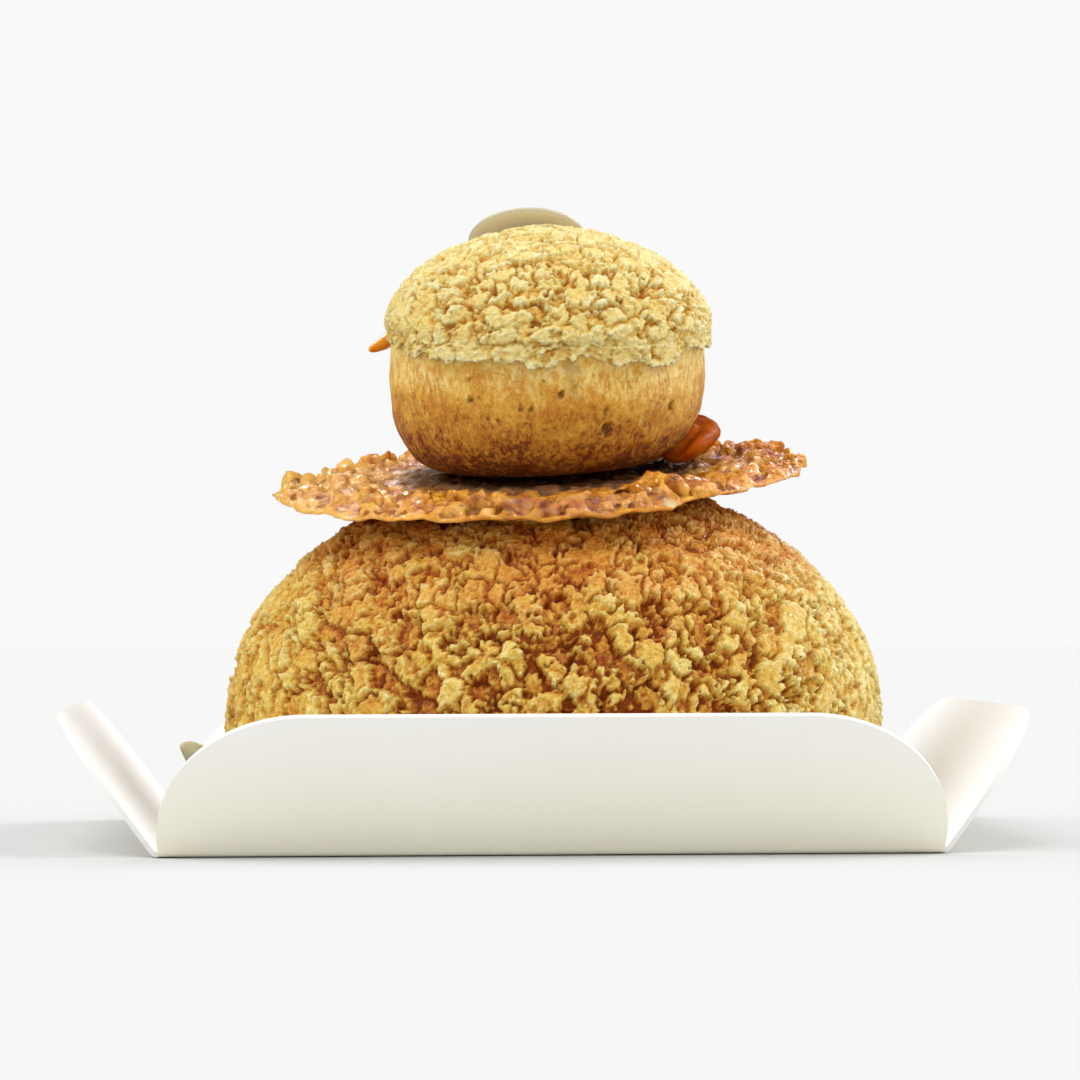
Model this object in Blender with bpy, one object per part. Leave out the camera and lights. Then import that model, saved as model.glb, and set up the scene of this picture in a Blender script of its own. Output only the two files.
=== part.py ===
"""A religieuse in its folded card tray: a small choux bun on a caramel nut crisp on a large choux bun.

Metres, +Z up. The origin is the middle of the tray's underside, and -Y is the front. Each bun is one
baked piece with its crust. The crisp lies on the large bun and leans to the front, the small bun sits
on it, a chocolate disc leans on the small bun's back slope, and two runs of caramel cling to its side.
"""

from math import cos, pi, radians, sin, tan

import bmesh
import bpy
from mathutils import Matrix, Vector, noise
from mathutils.bvhtree import BVHTree

MM = 0.001
GAP = 0.3 * MM

# Folded card tray: a square floor and four D-shaped flaps that lean outwards
TRAY_SIDE = 78.0 * MM
CARD = 0.5 * MM
FLAP_LENGTH = 17.7 * MM
FLAP_CORNER = 14.6 * MM
FLAP_LEAN = radians(36.6)
FLAP_STEPS = 9

# Large bun
BUN_X = 2.7 * MM
BUN_RADIUS = 35.9 * MM
BUN_WIDEST = 12.5 * MM
BUN_DOME = 27.3 * MM
BUN_DEPTH = 13.0 * MM
BUN_SQUARENESS = 0.6
BUN_RINGS = 33
BUN_SEGMENTS = 68
BUN_CRUST = {"cell": 8.0 * MM, "depth": 0.9 * MM, "rise": 0.6 * MM}

# Caramel nut crisp: a ragged thin disc
CRISP_CENTRE = Vector((1.0, 0.0, 38.2)) * MM
CRISP_RADIUS = 29.0 * MM
CRISP_THICKNESS = 1.3 * MM
CRISP_PITCH = radians(9.0)
CRISP_ROLL = radians(3.3)
CRISP_RAGGED = 0.9 * MM
CRISP_WARP = 0.5 * MM
CHIP_DEPTH = 2.6 * MM
CHIP_FROM = radians(-66.0)
CHIP_TO = radians(-10.0)
CRISP_SEGMENTS = 76
NUT_CELL = 4.2 * MM
NUT_RISE = 1.7 * MM

# Small bun, measured along its own leaning axis from the middle of its base
SMALL_X = 1.8 * MM
SMALL_Y = 1.0 * MM
SMALL_LIFT = 1.9 * MM
SMALL_HEIGHT = 26.2 * MM
SMALL_FLAT = 11.0 * MM
SMALL_BEND = 9.0 * MM
SMALL_BEND_STEPS = 5
SMALL_WAIST = 17.1 * MM
SMALL_RIM = 18.0 * MM
SMALL_DOME_STEPS = 12
SMALL_DOME_POWER = 1.8  # 2 would make the crust's outline an ellipse, and less makes it more pointed
RIM_LOW = 13.4 * MM
RIM_HIGH = 15.4 * MM
RIM_WANDER = 1.0 * MM
SMALL_SEGMENTS = 56
SMALL_CRUST = {"cell": 6.0 * MM, "depth": 0.5 * MM, "rise": 0.2 * MM}

# Chocolate disc
DISC_RADIUS = 6.6 * MM
DISC_THICKNESS = 0.6 * MM
DISC_EDGE = 0.15 * MM
DISC_SEGMENTS = 48
DISC_X = 0.2 * MM
DISC_Y = 10.2 * MM
DISC_LEAN = radians(27.0)
DISC_GAP = 0.1 * MM
PROBE_RINGS = 12
PROBE_TURNS = 48

# Caramel: a run over the small bun's rim, and a lump squeezed out under its side
RUN_SIDES = 12
LUMP_MIDDLE = radians(22.0)
LUMP_REACH = radians(55.0)
LUMP_OUT = 2.7 * MM
LUMP_HEIGHT = 4.3 * MM
LUMP_STEPS = 18

# Pistachio sliver standing between the large bun and the left flap
SLIVER_THICKNESS = 2.4 * MM
SLIVER_Y = -8.0 * MM


def clear_scene():
    for thing in list(bpy.data.objects):
        bpy.data.objects.remove(thing)


def finish(name, colour, roughness):
    """A plain Principled material."""
    made = bpy.data.materials.new(name)
    made.use_nodes = True
    shader = made.node_tree.nodes["Principled BSDF"]
    shader.inputs["Base Color"].default_value = (*colour, 1.0)
    shader.inputs["Roughness"].default_value = roughness
    shader.inputs["Metallic"].default_value = 0.0
    return made


def add_object(name, shape, look, parent, place=None):
    """Turns a bmesh into a smooth-shaded object, placed under its parent."""
    mesh = bpy.data.meshes.new(name)
    shape.to_mesh(mesh)
    shape.free()
    mesh.shade_smooth()
    mesh.set_sharp_from_angle(angle=radians(40.0))
    mesh.materials.append(look)
    made = bpy.data.objects.new(name, mesh)
    bpy.context.scene.collection.objects.link(made)
    made.parent = parent
    if place is not None:
        made.location = place.to_translation()
        made.rotation_euler = place.to_euler()
    return made


def skin(rings, first, last):
    """A closed bmesh over rings that run anticlockwise, from a point under the first to one on the last."""
    shape = bmesh.new()
    loops = [[shape.verts.new(point) for point in ring] for ring in rings]
    start = shape.verts.new(first)
    end = shape.verts.new(last)
    count = len(rings[0])
    for k in range(count):
        n = (k + 1) % count
        for lower, upper in zip(loops, loops[1:]):
            shape.faces.new((lower[k], lower[n], upper[n], upper[k]))
        shape.faces.new((start, loops[0][n], loops[0][k]))
        shape.faces.new((end, loops[-1][k], loops[-1][n]))
    return shape


def smooth(low, high, value):
    """Goes from 0 at low to 1 at high, without a corner."""
    part = min(1.0, max(0.0, (value - low) / (high - low)))
    return part * part * (3.0 - 2.0 * part)


def around(radius, azimuth, height):
    return Vector((radius * cos(azimuth), radius * sin(azimuth), height))


def crackle(point, crust, offset):
    """Height of a cracked crust: plates that bulge, and cracks where two plates meet."""
    distances, _ = noise.voronoi(point / crust["cell"] + offset)
    plate = smooth(0.0, 0.4, distances[1] - distances[0])
    return crust["rise"] * (1.0 - distances[0]) - crust["depth"] * (1.0 - plate)


# --- Card tray ---


def flap_outline():
    """(along the fold, up the flap) points of a flap's edge, from one end of its fold to the other."""
    half = TRAY_SIDE / 2
    rise = []
    for step in range(FLAP_STEPS + 1):
        turn = pi / 2 * step / FLAP_STEPS
        rise.append((FLAP_CORNER * (1 - cos(turn)) - half, FLAP_LENGTH * sin(turn)))
    return rise + [(-along, up) for along, up in reversed(rise)]


def tray_shape():
    """One folded sheet of card: the floor's two faces, and an outer face, inner face and edge for each flap."""
    shape = bmesh.new()
    half = TRAY_SIDE / 2
    inset = CARD * (1 - sin(FLAP_LEAN)) / cos(FLAP_LEAN)
    inwards = Vector((0.0, cos(FLAP_LEAN), sin(FLAP_LEAN))) * CARD
    turns = [Matrix.Rotation(pi / 2 * side, 3, "Z") for side in range(4)]
    under = [shape.verts.new(turn @ Vector((-half, -half, 0.0))) for turn in turns]
    above = [shape.verts.new(turn @ Vector((inset - half, inset - half, CARD))) for turn in turns]
    shape.faces.new(reversed(under))
    shape.faces.new(above)
    for side, turn in enumerate(turns):
        outer = [under[side]]
        inner = [above[side]]
        for along, up in flap_outline()[1:-1]:
            point = Vector((along, -half - up * sin(FLAP_LEAN), up * cos(FLAP_LEAN)))
            outer.append(shape.verts.new(turn @ point))
            inner.append(shape.verts.new(turn @ (point + inwards)))
        outer.append(under[(side + 1) % 4])
        inner.append(above[(side + 1) % 4])
        shape.faces.new(reversed(outer))
        shape.faces.new(inner)
        for k in range(len(outer) - 1):
            shape.faces.new((outer[k], outer[k + 1], inner[k + 1], inner[k]))
    bmesh.ops.recalc_face_normals(shape, faces=shape.faces)
    return shape


# --- Where the crisp lies ---


def seat_place():
    """The crisp's own frame: its middle, leaning down to the front and up to the right."""
    lean = Matrix.Rotation(-CRISP_ROLL, 4, "Y") @ Matrix.Rotation(CRISP_PITCH, 4, "X")
    return Matrix.Translation(CRISP_CENTRE) @ lean


def seat_height(x, y, above):
    """World height, at x and y, of a plane that lies a given way above the crisp's middle plane."""
    place = seat_place()
    normal = place.to_3x3() @ Vector((0.0, 0.0, 1.0))
    origin = place @ Vector((0.0, 0.0, above))
    return origin.z - (normal.x * (x - origin.x) + normal.y * (y - origin.y)) / normal.z


# --- Large bun ---


def bun_outline(angle):
    """(radius, height) of the large bun at an angle up or down from its widest level."""
    if angle < 0:
        return BUN_RADIUS * max(cos(angle), 0.0) ** BUN_SQUARENESS, BUN_WIDEST + BUN_DEPTH * sin(angle)
    return BUN_RADIUS * cos(angle), BUN_WIDEST + BUN_DOME * sin(angle)


def bun_point(radius, azimuth, height):
    """A point on the crackled crust, pressed flat by the tray's floor below and the crisp above."""
    point = around(radius, azimuth, height)
    outwards = (point - Vector((0.0, 0.0, BUN_WIDEST))).normalized()
    offset = Vector((3.1, 7.7, 1.9))
    point += outwards * crackle(point, BUN_CRUST, offset)
    point.x += BUN_X
    ceiling = seat_height(point.x, point.y, -CRISP_THICKNESS / 2 - CRISP_WARP - GAP)
    point.z = min(ceiling, max(CARD + GAP, point.z))
    return point


def large_bun_shape():
    rings = []
    for ring in range(1, BUN_RINGS):
        radius, height = bun_outline(pi * ring / BUN_RINGS - pi / 2)
        turns = [2 * pi * k / BUN_SEGMENTS for k in range(BUN_SEGMENTS)]
        rings.append([bun_point(radius, turn, height) for turn in turns])
    low = bun_point(0.0, 0.0, BUN_WIDEST - BUN_DEPTH)
    high = bun_point(0.0, 0.0, BUN_WIDEST + BUN_DOME)
    return skin(rings, low, high)


# --- Caramel nut crisp ---


def crisp_edge(azimuth):
    """Radius of the ragged outline, with a chip out of its front right, at an azimuth from -pi to pi."""
    way = around(1.0, azimuth, 0.0)
    broad = noise.noise(way * 1.6 + Vector((4.0, 0.0, 0.0)))
    fine = noise.noise(way * 5.5 + Vector((0.0, 9.0, 0.0)))
    chip = smooth(CHIP_FROM, CHIP_FROM + radians(5.0), azimuth)
    chip *= smooth(CHIP_TO, CHIP_TO - radians(22.0), azimuth)
    return CRISP_RADIUS + CRISP_RAGGED * (broad + 0.9 * fine) - CHIP_DEPTH * chip


def crisp_warp(point):
    return CRISP_WARP * noise.noise(point / (16.0 * MM) + Vector((1.0, 2.0, 5.0)))


def nut_rise(point):
    """Height of the caramel-coated nuts, pressed down where the small bun sits."""
    distances, _ = noise.voronoi(point / NUT_CELL + Vector((6.0, 3.0, 0.5)))
    rise = NUT_RISE * smooth(0.0, 0.5, distances[1] - distances[0])
    base = Vector((SMALL_X - CRISP_CENTRE.x, SMALL_Y - CRISP_CENTRE.y, 0.0))
    pressed = smooth(20.0 * MM, 23.0 * MM, (point - base).length)
    room = SMALL_LIFT - CRISP_WARP - CRISP_THICKNESS / 2 - GAP
    return min(rise, room + pressed * NUT_RISE)


def crisp_shape():
    turns = [2 * pi * k / CRISP_SEGMENTS - pi for k in range(CRISP_SEGMENTS)]
    half = CRISP_THICKNESS / 2
    rings = []
    for share in (0.3, 0.6, 0.85, 0.97):
        flat = [around(share * crisp_edge(turn), turn, 0.0) for turn in turns]
        rings.append([point + Vector((0.0, 0.0, crisp_warp(point) - half)) for point in flat])
    rings.append([around(crisp_edge(turn), turn, 0.0) for turn in turns])
    for point in rings[-1]:
        point.z = crisp_warp(point)
    for share in (0.97, 0.91, 0.83, 0.74, 0.64, 0.5, 0.34, 0.17):
        flat = [around(share * crisp_edge(turn), turn, 0.0) for turn in turns]
        rim = smooth(1.0, 0.93, share)
        rings.append(
            [p + Vector((0.0, 0.0, crisp_warp(p) + half + rim * nut_rise(p))) for p in flat]
        )
    middle = Vector((0.0, 0.0, crisp_warp(Vector())))
    rise = nut_rise(Vector())
    return skin(rings, middle - Vector((0, 0, half)), middle + Vector((0, 0, half + rise)))


# --- Small bun ---


def small_place():
    """The small bun's frame: its base on the nuts, its axis leaning forwards as the crisp does."""
    base = Vector((SMALL_X, SMALL_Y, seat_height(SMALL_X, SMALL_Y, SMALL_LIFT)))
    return Matrix.Translation(base) @ Matrix.Rotation(CRISP_PITCH, 4, "X")


def small_outline():
    """(radius, height) points from the edge of the flat base, round the bare side and over the crust."""
    outline = [(SMALL_FLAT / 2, 0.0)]
    for step in range(SMALL_BEND_STEPS + 1):
        turn = pi / 2 * step / SMALL_BEND_STEPS
        out = SMALL_FLAT + (SMALL_WAIST - SMALL_FLAT) * sin(turn)
        outline.append((out, SMALL_BEND * (1 - cos(turn))))
    outline.append((SMALL_WAIST, (SMALL_BEND + RIM_LOW) / 2))
    outline.append((SMALL_WAIST, RIM_LOW))
    dome = SMALL_HEIGHT - RIM_HIGH
    power = 2 / SMALL_DOME_POWER
    for step in range(SMALL_DOME_STEPS):
        turn = pi / 2 * step / SMALL_DOME_STEPS
        outline.append((SMALL_RIM * cos(turn) ** power, RIM_HIGH + dome * sin(turn) ** power))
    return outline


def small_point(radius, azimuth, height):
    """A point of the small bun: smooth below the crust's rim, crackled above, its base cut to the crisp."""
    point = around(radius, azimuth, height)
    crusted = smooth(RIM_LOW, RIM_HIGH, height)
    outwards = (point - Vector((0.0, 0.0, RIM_HIGH))).normalized()
    point += outwards * crusted * crackle(point, SMALL_CRUST, Vector((2.5, 8.1, 4.7)))
    near_rim = crusted * smooth(SMALL_HEIGHT, RIM_HIGH, height)
    point.z += RIM_WANDER * near_rim * noise.noise(around(1.3, azimuth, 0.0))
    point.z += tan(CRISP_ROLL) * point.x * smooth(RIM_HIGH, 0.0, height)
    return point


def small_bun_shape():
    turns = [2 * pi * k / SMALL_SEGMENTS for k in range(SMALL_SEGMENTS)]
    rings = [[small_point(radius, turn, height) for turn in turns] for radius, height in small_outline()]
    return skin(rings, small_point(0.0, 0.0, 0.0), small_point(0.0, 0.0, SMALL_HEIGHT))


# --- Chocolate disc ---


def disc_shape():
    """A thin round disc with a softened edge, its underside's middle at the origin."""
    outline = [
        (DISC_RADIUS - DISC_EDGE, 0.0),
        (DISC_RADIUS, DISC_EDGE),
        (DISC_RADIUS, DISC_THICKNESS - DISC_EDGE),
        (DISC_RADIUS - DISC_EDGE, DISC_THICKNESS),
    ]
    turns = [2 * pi * k / DISC_SEGMENTS for k in range(DISC_SEGMENTS)]
    rings = [[around(radius, turn, height) for turn in turns] for radius, height in outline]
    return skin(rings, Vector(), Vector((0.0, 0.0, DISC_THICKNESS)))


def disc_place(small_bun):
    """Leans the disc back and lowers it until it just clears the small bun's crust."""
    lean = Matrix.Rotation(-DISC_LEAN, 4, "X")
    down = -(lean.to_3x3() @ Vector((0.0, 0.0, 1.0)))
    height = small_place().translation.z + SMALL_HEIGHT
    start = Matrix.Translation((DISC_X, DISC_Y, height)) @ lean
    tree = BVHTree.FromBMesh(small_bun)
    to_bun = small_place().inverted()
    drops = []
    for ring in range(PROBE_RINGS + 1):
        for k in range(PROBE_TURNS):
            probe = start @ around(DISC_RADIUS * ring / PROBE_RINGS, 2 * pi * k / PROBE_TURNS, 0.0)
            hit = tree.ray_cast(to_bun @ probe, to_bun.to_3x3() @ down)
            if hit[3] is not None:
                drops.append(hit[3])
    return Matrix.Translation(down * (min(drops) - DISC_GAP)) @ start


# --- Caramel ---


def run_shape():
    """A run of caramel that hangs over the crust's rim on the left and ends in a drop."""
    # (azimuth in degrees, distance from the bun's axis, height, thickness), all three in mm
    stations = (
        (138.0, 18.9, 15.6, 0.4),
        (144.0, 18.85, 14.5, 0.7),
        (150.0, 18.6, 13.4, 0.9),
        (156.5, 18.6, 12.8, 0.9),
        (162.5, 19.0, 12.4, 0.72),
        (167.5, 19.6, 12.0, 0.4),
    )
    path = [around(out * MM, radians(azimuth), up * MM) for azimuth, out, up, _ in stations]
    rings = []
    for k, (_, _, _, thick) in enumerate(stations):
        along = (path[min(k + 1, len(path) - 1)] - path[max(k - 1, 0)]).normalized()
        side = along.cross(Vector((0.0, 0.0, 1.0))).normalized()
        other = side.cross(along)
        turns = [2 * pi * n / RUN_SIDES for n in range(RUN_SIDES)]
        rings.append([path[k] + (side * cos(t) - other * sin(t)) * thick * MM for t in turns])
    shape = skin(rings, path[0], path[-1] + (path[-1] - path[-2]) * 0.2)
    bmesh.ops.recalc_face_normals(shape, faces=shape.faces)
    return shape


def lump_section(azimuth, swell):
    """One slice of the squeezed-out lump: a wedge whose tip stands clear of the crisp."""
    out = LUMP_OUT * swell
    top = LUMP_HEIGHT * (0.45 + 0.55 * swell)
    edge = SMALL_WAIST - 0.2 * MM
    slice_points = (
        (12.6 * MM, 0.1 * MM - GAP),
        (edge - 0.5 * MM, -0.1 * MM),
        (edge + 0.3 * out, 0.26 * top),
        (edge + 0.85 * out, 0.46 * top),
        (edge + out, 0.6 * top),
        (edge + 0.75 * out, 0.8 * top),
        (edge + 0.1 * MM, top),
        (edge - 1.0 * MM + 0.5 * GAP, 0.62 * top),
        (14.8 * MM, 0.9 * MM - GAP),
    )
    return [around(radius + GAP, azimuth, height) for radius, height in slice_points]


def lump_shape():
    rings = []
    for step in range(1, LUMP_STEPS):
        part = 2 * step / LUMP_STEPS - 1
        swell = cos(part * pi / 2) ** 0.8
        rings.append(lump_section(LUMP_MIDDLE + LUMP_REACH * part, swell))
    ends = [lump_section(LUMP_MIDDLE + side * LUMP_REACH, 0.0) for side in (-1, 1)]
    first, last = [sum(end, Vector()) / len(end) for end in ends]
    shape = skin(rings, first, last)
    bmesh.ops.recalc_face_normals(shape, faces=shape.faces)
    return shape


def lump_place():
    """The lump lies along the crisp, so it has the crisp's full lean."""
    place = seat_place()
    place.translation = small_place().translation
    return place


# --- Pistachio sliver ---


def sliver_shape():
    """A split sliver on end: a flat slab with softened edges."""
    # (x, z) in mm, from the foot by the flap, round under the bun and over the top
    outline = (
        (-33.3, 0.9),
        (-31.0, 1.2),
        (-31.2, 5.0),
        (-32.9, 8.9),
        (-34.9, 9.8),
        (-37.2, 10.5),
        (-37.9, 9.9),
    )
    shape = bmesh.new()
    corners = [shape.verts.new((x * MM, SLIVER_Y, z * MM)) for x, z in outline]
    front = shape.faces.new(corners)
    grown = bmesh.ops.extrude_face_region(shape, geom=[front])
    moved = [part for part in grown["geom"] if isinstance(part, bmesh.types.BMVert)]
    bmesh.ops.translate(shape, verts=moved, vec=(0.0, SLIVER_THICKNESS, 0.0))
    bmesh.ops.recalc_face_normals(shape, faces=shape.faces)
    bmesh.ops.bevel(shape, geom=shape.edges[:], offset=0.25 * MM, segments=1, affect="EDGES")
    return shape


def main():
    clear_scene()
    pastry = bpy.data.objects.new("religieuse", None)
    bpy.context.scene.collection.objects.link(pastry)

    card = finish("white_card", (0.83, 0.82, 0.79), 0.6)
    large_crust = finish("large_bun_crust", (0.52, 0.32, 0.12), 0.7)
    small_crust = finish("small_bun_crust", (0.66, 0.46, 0.2), 0.65)
    nutty_caramel = finish("nutty_caramel", (0.6, 0.24, 0.04), 0.25)
    caramel = finish("caramel", (0.5, 0.17, 0.03), 0.3)
    chocolate = finish("blond_chocolate", (0.5, 0.43, 0.27), 0.45)
    pistachio = finish("pistachio", (0.36, 0.38, 0.25), 0.55)

    add_object("card_tray", tray_shape(), card, pastry)
    add_object("large_choux_bun", large_bun_shape(), large_crust, pastry)
    add_object("caramel_nut_crisp", crisp_shape(), nutty_caramel, pastry, seat_place())
    small_bun = small_bun_shape()
    disc_at = disc_place(small_bun)
    add_object("small_choux_bun", small_bun, small_crust, pastry, small_place())
    add_object("chocolate_disc", disc_shape(), chocolate, pastry, disc_at)
    add_object("caramel_run", run_shape(), caramel, pastry, small_place())
    add_object("caramel_lump", lump_shape(), caramel, pastry, lump_place())
    add_object("pistachio_sliver", sliver_shape(), pistachio, pastry)


main()
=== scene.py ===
"""The looks of a religieuse: two choux buns with a craquelin crust, a caramel nut crisp and a card tray.

Shapes are worked out in millimetres in each piece's own frame, and each frame comes from the CAD model.
"""

from math import cos, pi, radians, sin, sqrt

import bmesh
import bpy
import numpy as np
from mathutils import Matrix, Vector, noise


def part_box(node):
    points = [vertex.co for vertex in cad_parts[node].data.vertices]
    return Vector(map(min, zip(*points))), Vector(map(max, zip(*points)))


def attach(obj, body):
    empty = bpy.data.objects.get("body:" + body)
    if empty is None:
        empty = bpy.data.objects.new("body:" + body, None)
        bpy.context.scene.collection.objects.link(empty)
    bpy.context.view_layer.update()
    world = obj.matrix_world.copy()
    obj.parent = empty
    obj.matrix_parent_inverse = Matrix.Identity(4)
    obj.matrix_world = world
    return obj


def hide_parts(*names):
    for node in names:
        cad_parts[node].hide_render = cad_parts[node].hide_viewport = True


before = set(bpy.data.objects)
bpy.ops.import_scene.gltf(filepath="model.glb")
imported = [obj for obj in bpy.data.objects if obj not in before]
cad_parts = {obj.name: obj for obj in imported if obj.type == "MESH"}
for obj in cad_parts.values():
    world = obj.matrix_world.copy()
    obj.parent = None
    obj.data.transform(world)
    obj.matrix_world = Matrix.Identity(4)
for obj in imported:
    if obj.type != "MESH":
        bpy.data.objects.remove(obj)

MM = 0.001
noise.seed_set(5)  # fixes the offsets of noise_vector
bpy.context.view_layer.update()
FLATTEN = np.array([1, 1, 0])  # times this, points come down to a height of 0

# The crisp and the small bun lean to the front, and the crisp also rises to the right
PITCH = radians(9.0)
ROLL = radians(3.3)
CRISP_RADIUS = 29.0
CRISP_HALF = 0.65  # half the sheet's thickness
CRISP_ABOVE = 0.72  # the crisp's box reaches this much further above its middle plane than below
SEAT = np.array([0.8, 1.0])  # where the small bun's middle is in the crisp's own frame

# The grids of points on the crusts: points round the axis, and mm between the rings
LARGE_SEGMENTS, LARGE_STEP = 1104, 0.2
SMALL_SEGMENTS, SMALL_STEP = 560, 0.175

# The large bun's outline: its widest level above the table, and how far it goes up and down from there
BUN_WIDEST = 12.5
BUN_DOME = 27.3
BUN_DEPTH = 13.0

# The small bun's outline: heights are from its own base
SMALL_HEIGHT = 26.2
SMALL_RIM = 15.4  # the crust's widest level
SMALL_RADIUS = 18.0  # of the crust at its widest level
SMALL_ROUND = 1.8  # 2 would make the crust's outline an ellipse, and less makes it more pointed
SMALL_WAIST = 17.1  # radius of the bare side
SMALL_BEND = 9.0  # height of the bend from the base to the bare side
SMALL_FLAT = 11.0  # radius of the flat base
SMALL_LIFT = 1.9  # height of the base above the crisp's middle plane


# --- Meshes from arrays ---


def mesh_of(name, points, faces):
    """A mesh from an array of points in mm and an array of faces with equally many corners."""
    mesh = bpy.data.meshes.new(name)
    mesh.vertices.add(len(points))
    mesh.vertices.foreach_set("co", np.asarray(points, np.float32).ravel())
    mesh.loops.add(faces.size)
    mesh.loops.foreach_set("vertex_index", np.asarray(faces, np.int32).ravel())
    mesh.polygons.add(len(faces))
    mesh.polygons.foreach_set("loop_start", np.arange(0, faces.size, faces.shape[1], dtype=np.int32))
    mesh.update(calc_edges=True)
    mesh.shade_smooth()
    return mesh


def read(items, key, width, kind=np.float32):
    """An array of one property of a mesh's vertices, edges or triangles."""
    found = np.empty(len(items) * width, kind)
    items.foreach_get(key, found)
    return found.reshape(-1, width)


def points_of(mesh):
    return read(mesh.vertices, "co", 3).astype(float)


def normals_of(mesh):
    return read(mesh.vertices, "normal", 3).astype(float)


def edges_of(mesh):
    return read(mesh.edges, "vertices", 2, np.int32)


def triangles_of(mesh):
    mesh.calc_loop_triangles()
    return read(mesh.loop_triangles, "vertices", 3, np.int32)


def value_of(mesh, name):
    return read(mesh.attributes[name].data, "value", 1)[:, 0]


def set_points(mesh, points):
    mesh.vertices.foreach_set("co", np.asarray(points, np.float32).ravel())
    mesh.update()


def round_points(radii, turn, heights):
    """Points at radii and angles round the axis."""
    return np.stack([radii * np.cos(turn), radii * np.sin(turn), heights], -1).reshape(-1, 3)


def polar_solid(radii, heights):
    """A closed skin: radii and heights are (rings, segments) arrays, capped at both ends."""
    rings, count = radii.shape
    ring_points = round_points(radii, np.arange(count) * 2 * pi / count, heights)
    points = np.vstack([ring_points, [[0, 0, heights[0].mean()], [0, 0, heights[-1].mean()]]])
    k = np.arange(count)
    n = (k + 1) % count
    faces = []
    for ring in range(rings - 1):
        low, high = ring * count, (ring + 1) * count
        faces.append(np.stack([low + k, low + n, high + n], -1))
        faces.append(np.stack([low + k, high + n, high + k], -1))
    last = (rings - 1) * count
    faces.append(np.stack([np.full(count, rings * count), n, k], -1))
    faces.append(np.stack([np.full(count, rings * count + 1), last + k, last + n], -1))
    return points, np.vstack(faces)


def icosphere(subdivisions):
    shape = bmesh.new()
    bmesh.ops.create_icosphere(shape, subdivisions=subdivisions, radius=1.0)
    points = np.array([v.co for v in shape.verts])
    faces = np.array([[v.index for v in f.verts] for f in shape.faces])
    shape.free()
    return points, faces


def rotations(count, rng):
    """Random rotation matrices, from random unit quaternions."""
    quaternions = rng.normal(size=(count, 4))
    w, x, y, z = quaternions.T / np.linalg.norm(quaternions, axis=1)
    rows = [
        [1 - 2 * (y * y + z * z), 2 * (x * y - z * w), 2 * (x * z + y * w)],
        [2 * (x * y + z * w), 1 - 2 * (x * x + z * z), 2 * (y * z - x * w)],
        [2 * (x * z - y * w), 2 * (y * z + x * w), 1 - 2 * (x * x + y * y)],
    ]
    return np.array(rows).transpose(2, 0, 1)


def blobs(centres, radii, rng, ball, uneven=0.12, stretch=0.2):
    """Knobbly balls, one at each centre: ball is the unit shape that they are made from."""
    unit, faces = ball
    count = len(centres)
    scale = 1 + stretch * rng.uniform(-1, 1, (count, 1, 3))
    local = unit[None] * scale * (1 + uneven * rng.uniform(-1, 1, (count, len(unit), 1)))
    turned = np.einsum("nij,nkj->nki", rotations(count, rng), local)
    points = centres[:, None] + turned * np.asarray(radii)[:, None, None]
    shifted = faces[None] + (np.arange(count) * len(unit))[:, None, None]
    return points.reshape(-1, 3), shifted.reshape(-1, 3)


def joined(parts):
    points, faces, count = [], [], 0
    for p, f in parts:
        points.append(p)
        faces.append(f + count)
        count += len(p)
    return np.vstack(points), np.vstack(faces)


def evaluated(name, mesh, settings):
    """The mesh after a list of (modifier type, {setting: value})."""
    thing = bpy.data.objects.new(name, mesh)
    bpy.context.scene.collection.objects.link(thing)
    for kind, values in settings:
        modifier = thing.modifiers.new(kind, kind)
        for key, value in values.items():
            setattr(modifier, key, value)
    result = bpy.data.meshes.new_from_object(thing.evaluated_get(bpy.context.evaluated_depsgraph_get()))
    bpy.data.objects.remove(thing)
    bpy.data.meshes.remove(mesh)
    result.name = name
    return result


def outer_skin(mesh):
    """Removes the closed pockets that fusing leaves inside, and crumbs that touch nothing."""
    edges = edges_of(mesh)
    labels = np.arange(len(mesh.vertices))
    while True:
        least = np.minimum(labels[edges[:, 0]], labels[edges[:, 1]])
        found = labels.copy()
        np.minimum.at(found, edges[:, 0], least)
        np.minimum.at(found, edges[:, 1], least)
        found = found[found]
        if (found == labels).all():
            break
        labels = found
    values, counts = np.unique(labels, return_counts=True)
    drop = np.flatnonzero(labels != values[counts.argmax()])
    shape = bmesh.new()
    shape.from_mesh(mesh)
    shape.verts.ensure_lookup_table()
    bmesh.ops.delete(shape, geom=[shape.verts[i] for i in drop], context="VERTS")
    shape.to_mesh(mesh)
    shape.free()
    return mesh


def fuse(name, parts, voxel, smoothing, most):
    """Fuses closed shapes that overlap into one skin, of no more triangles than most."""
    settings = [
        ("REMESH", {"mode": "VOXEL", "voxel_size": voxel, "use_smooth_shade": True}),
        ("SMOOTH", {"factor": 0.5, "iterations": smoothing}),
    ]
    mesh = outer_skin(evaluated(name, mesh_of(name, *joined(parts)), settings))
    triangles = len(mesh.loops) - 2 * len(mesh.polygons)
    if triangles > most:
        thinned = {"ratio": most / triangles, "use_collapse_triangulate": True}
        mesh = evaluated(name, mesh, [("DECIMATE", thinned)])
    return mesh


def surface_spots(mesh, count, rng, wanted):
    """Random points on a mesh: their places, outward directions and nearest vertices.

    wanted gives each vertex's share of them.
    """
    corners = triangles_of(mesh)
    points = points_of(mesh)
    a, b, c = (points[corners[:, k]] for k in range(3))
    area = np.linalg.norm(np.cross(b - a, c - a), axis=1) * wanted[corners].mean(1)
    at = np.searchsorted(np.cumsum(area), np.sort(rng.uniform(0, area.sum(), count)))
    share = rng.dirichlet((1, 1, 1), count)
    where = (points[corners[at]] * share[..., None]).sum(1)
    return where, normals_of(mesh)[corners[at, 0]], corners[at, 0]


# --- Fields over points ---


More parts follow.
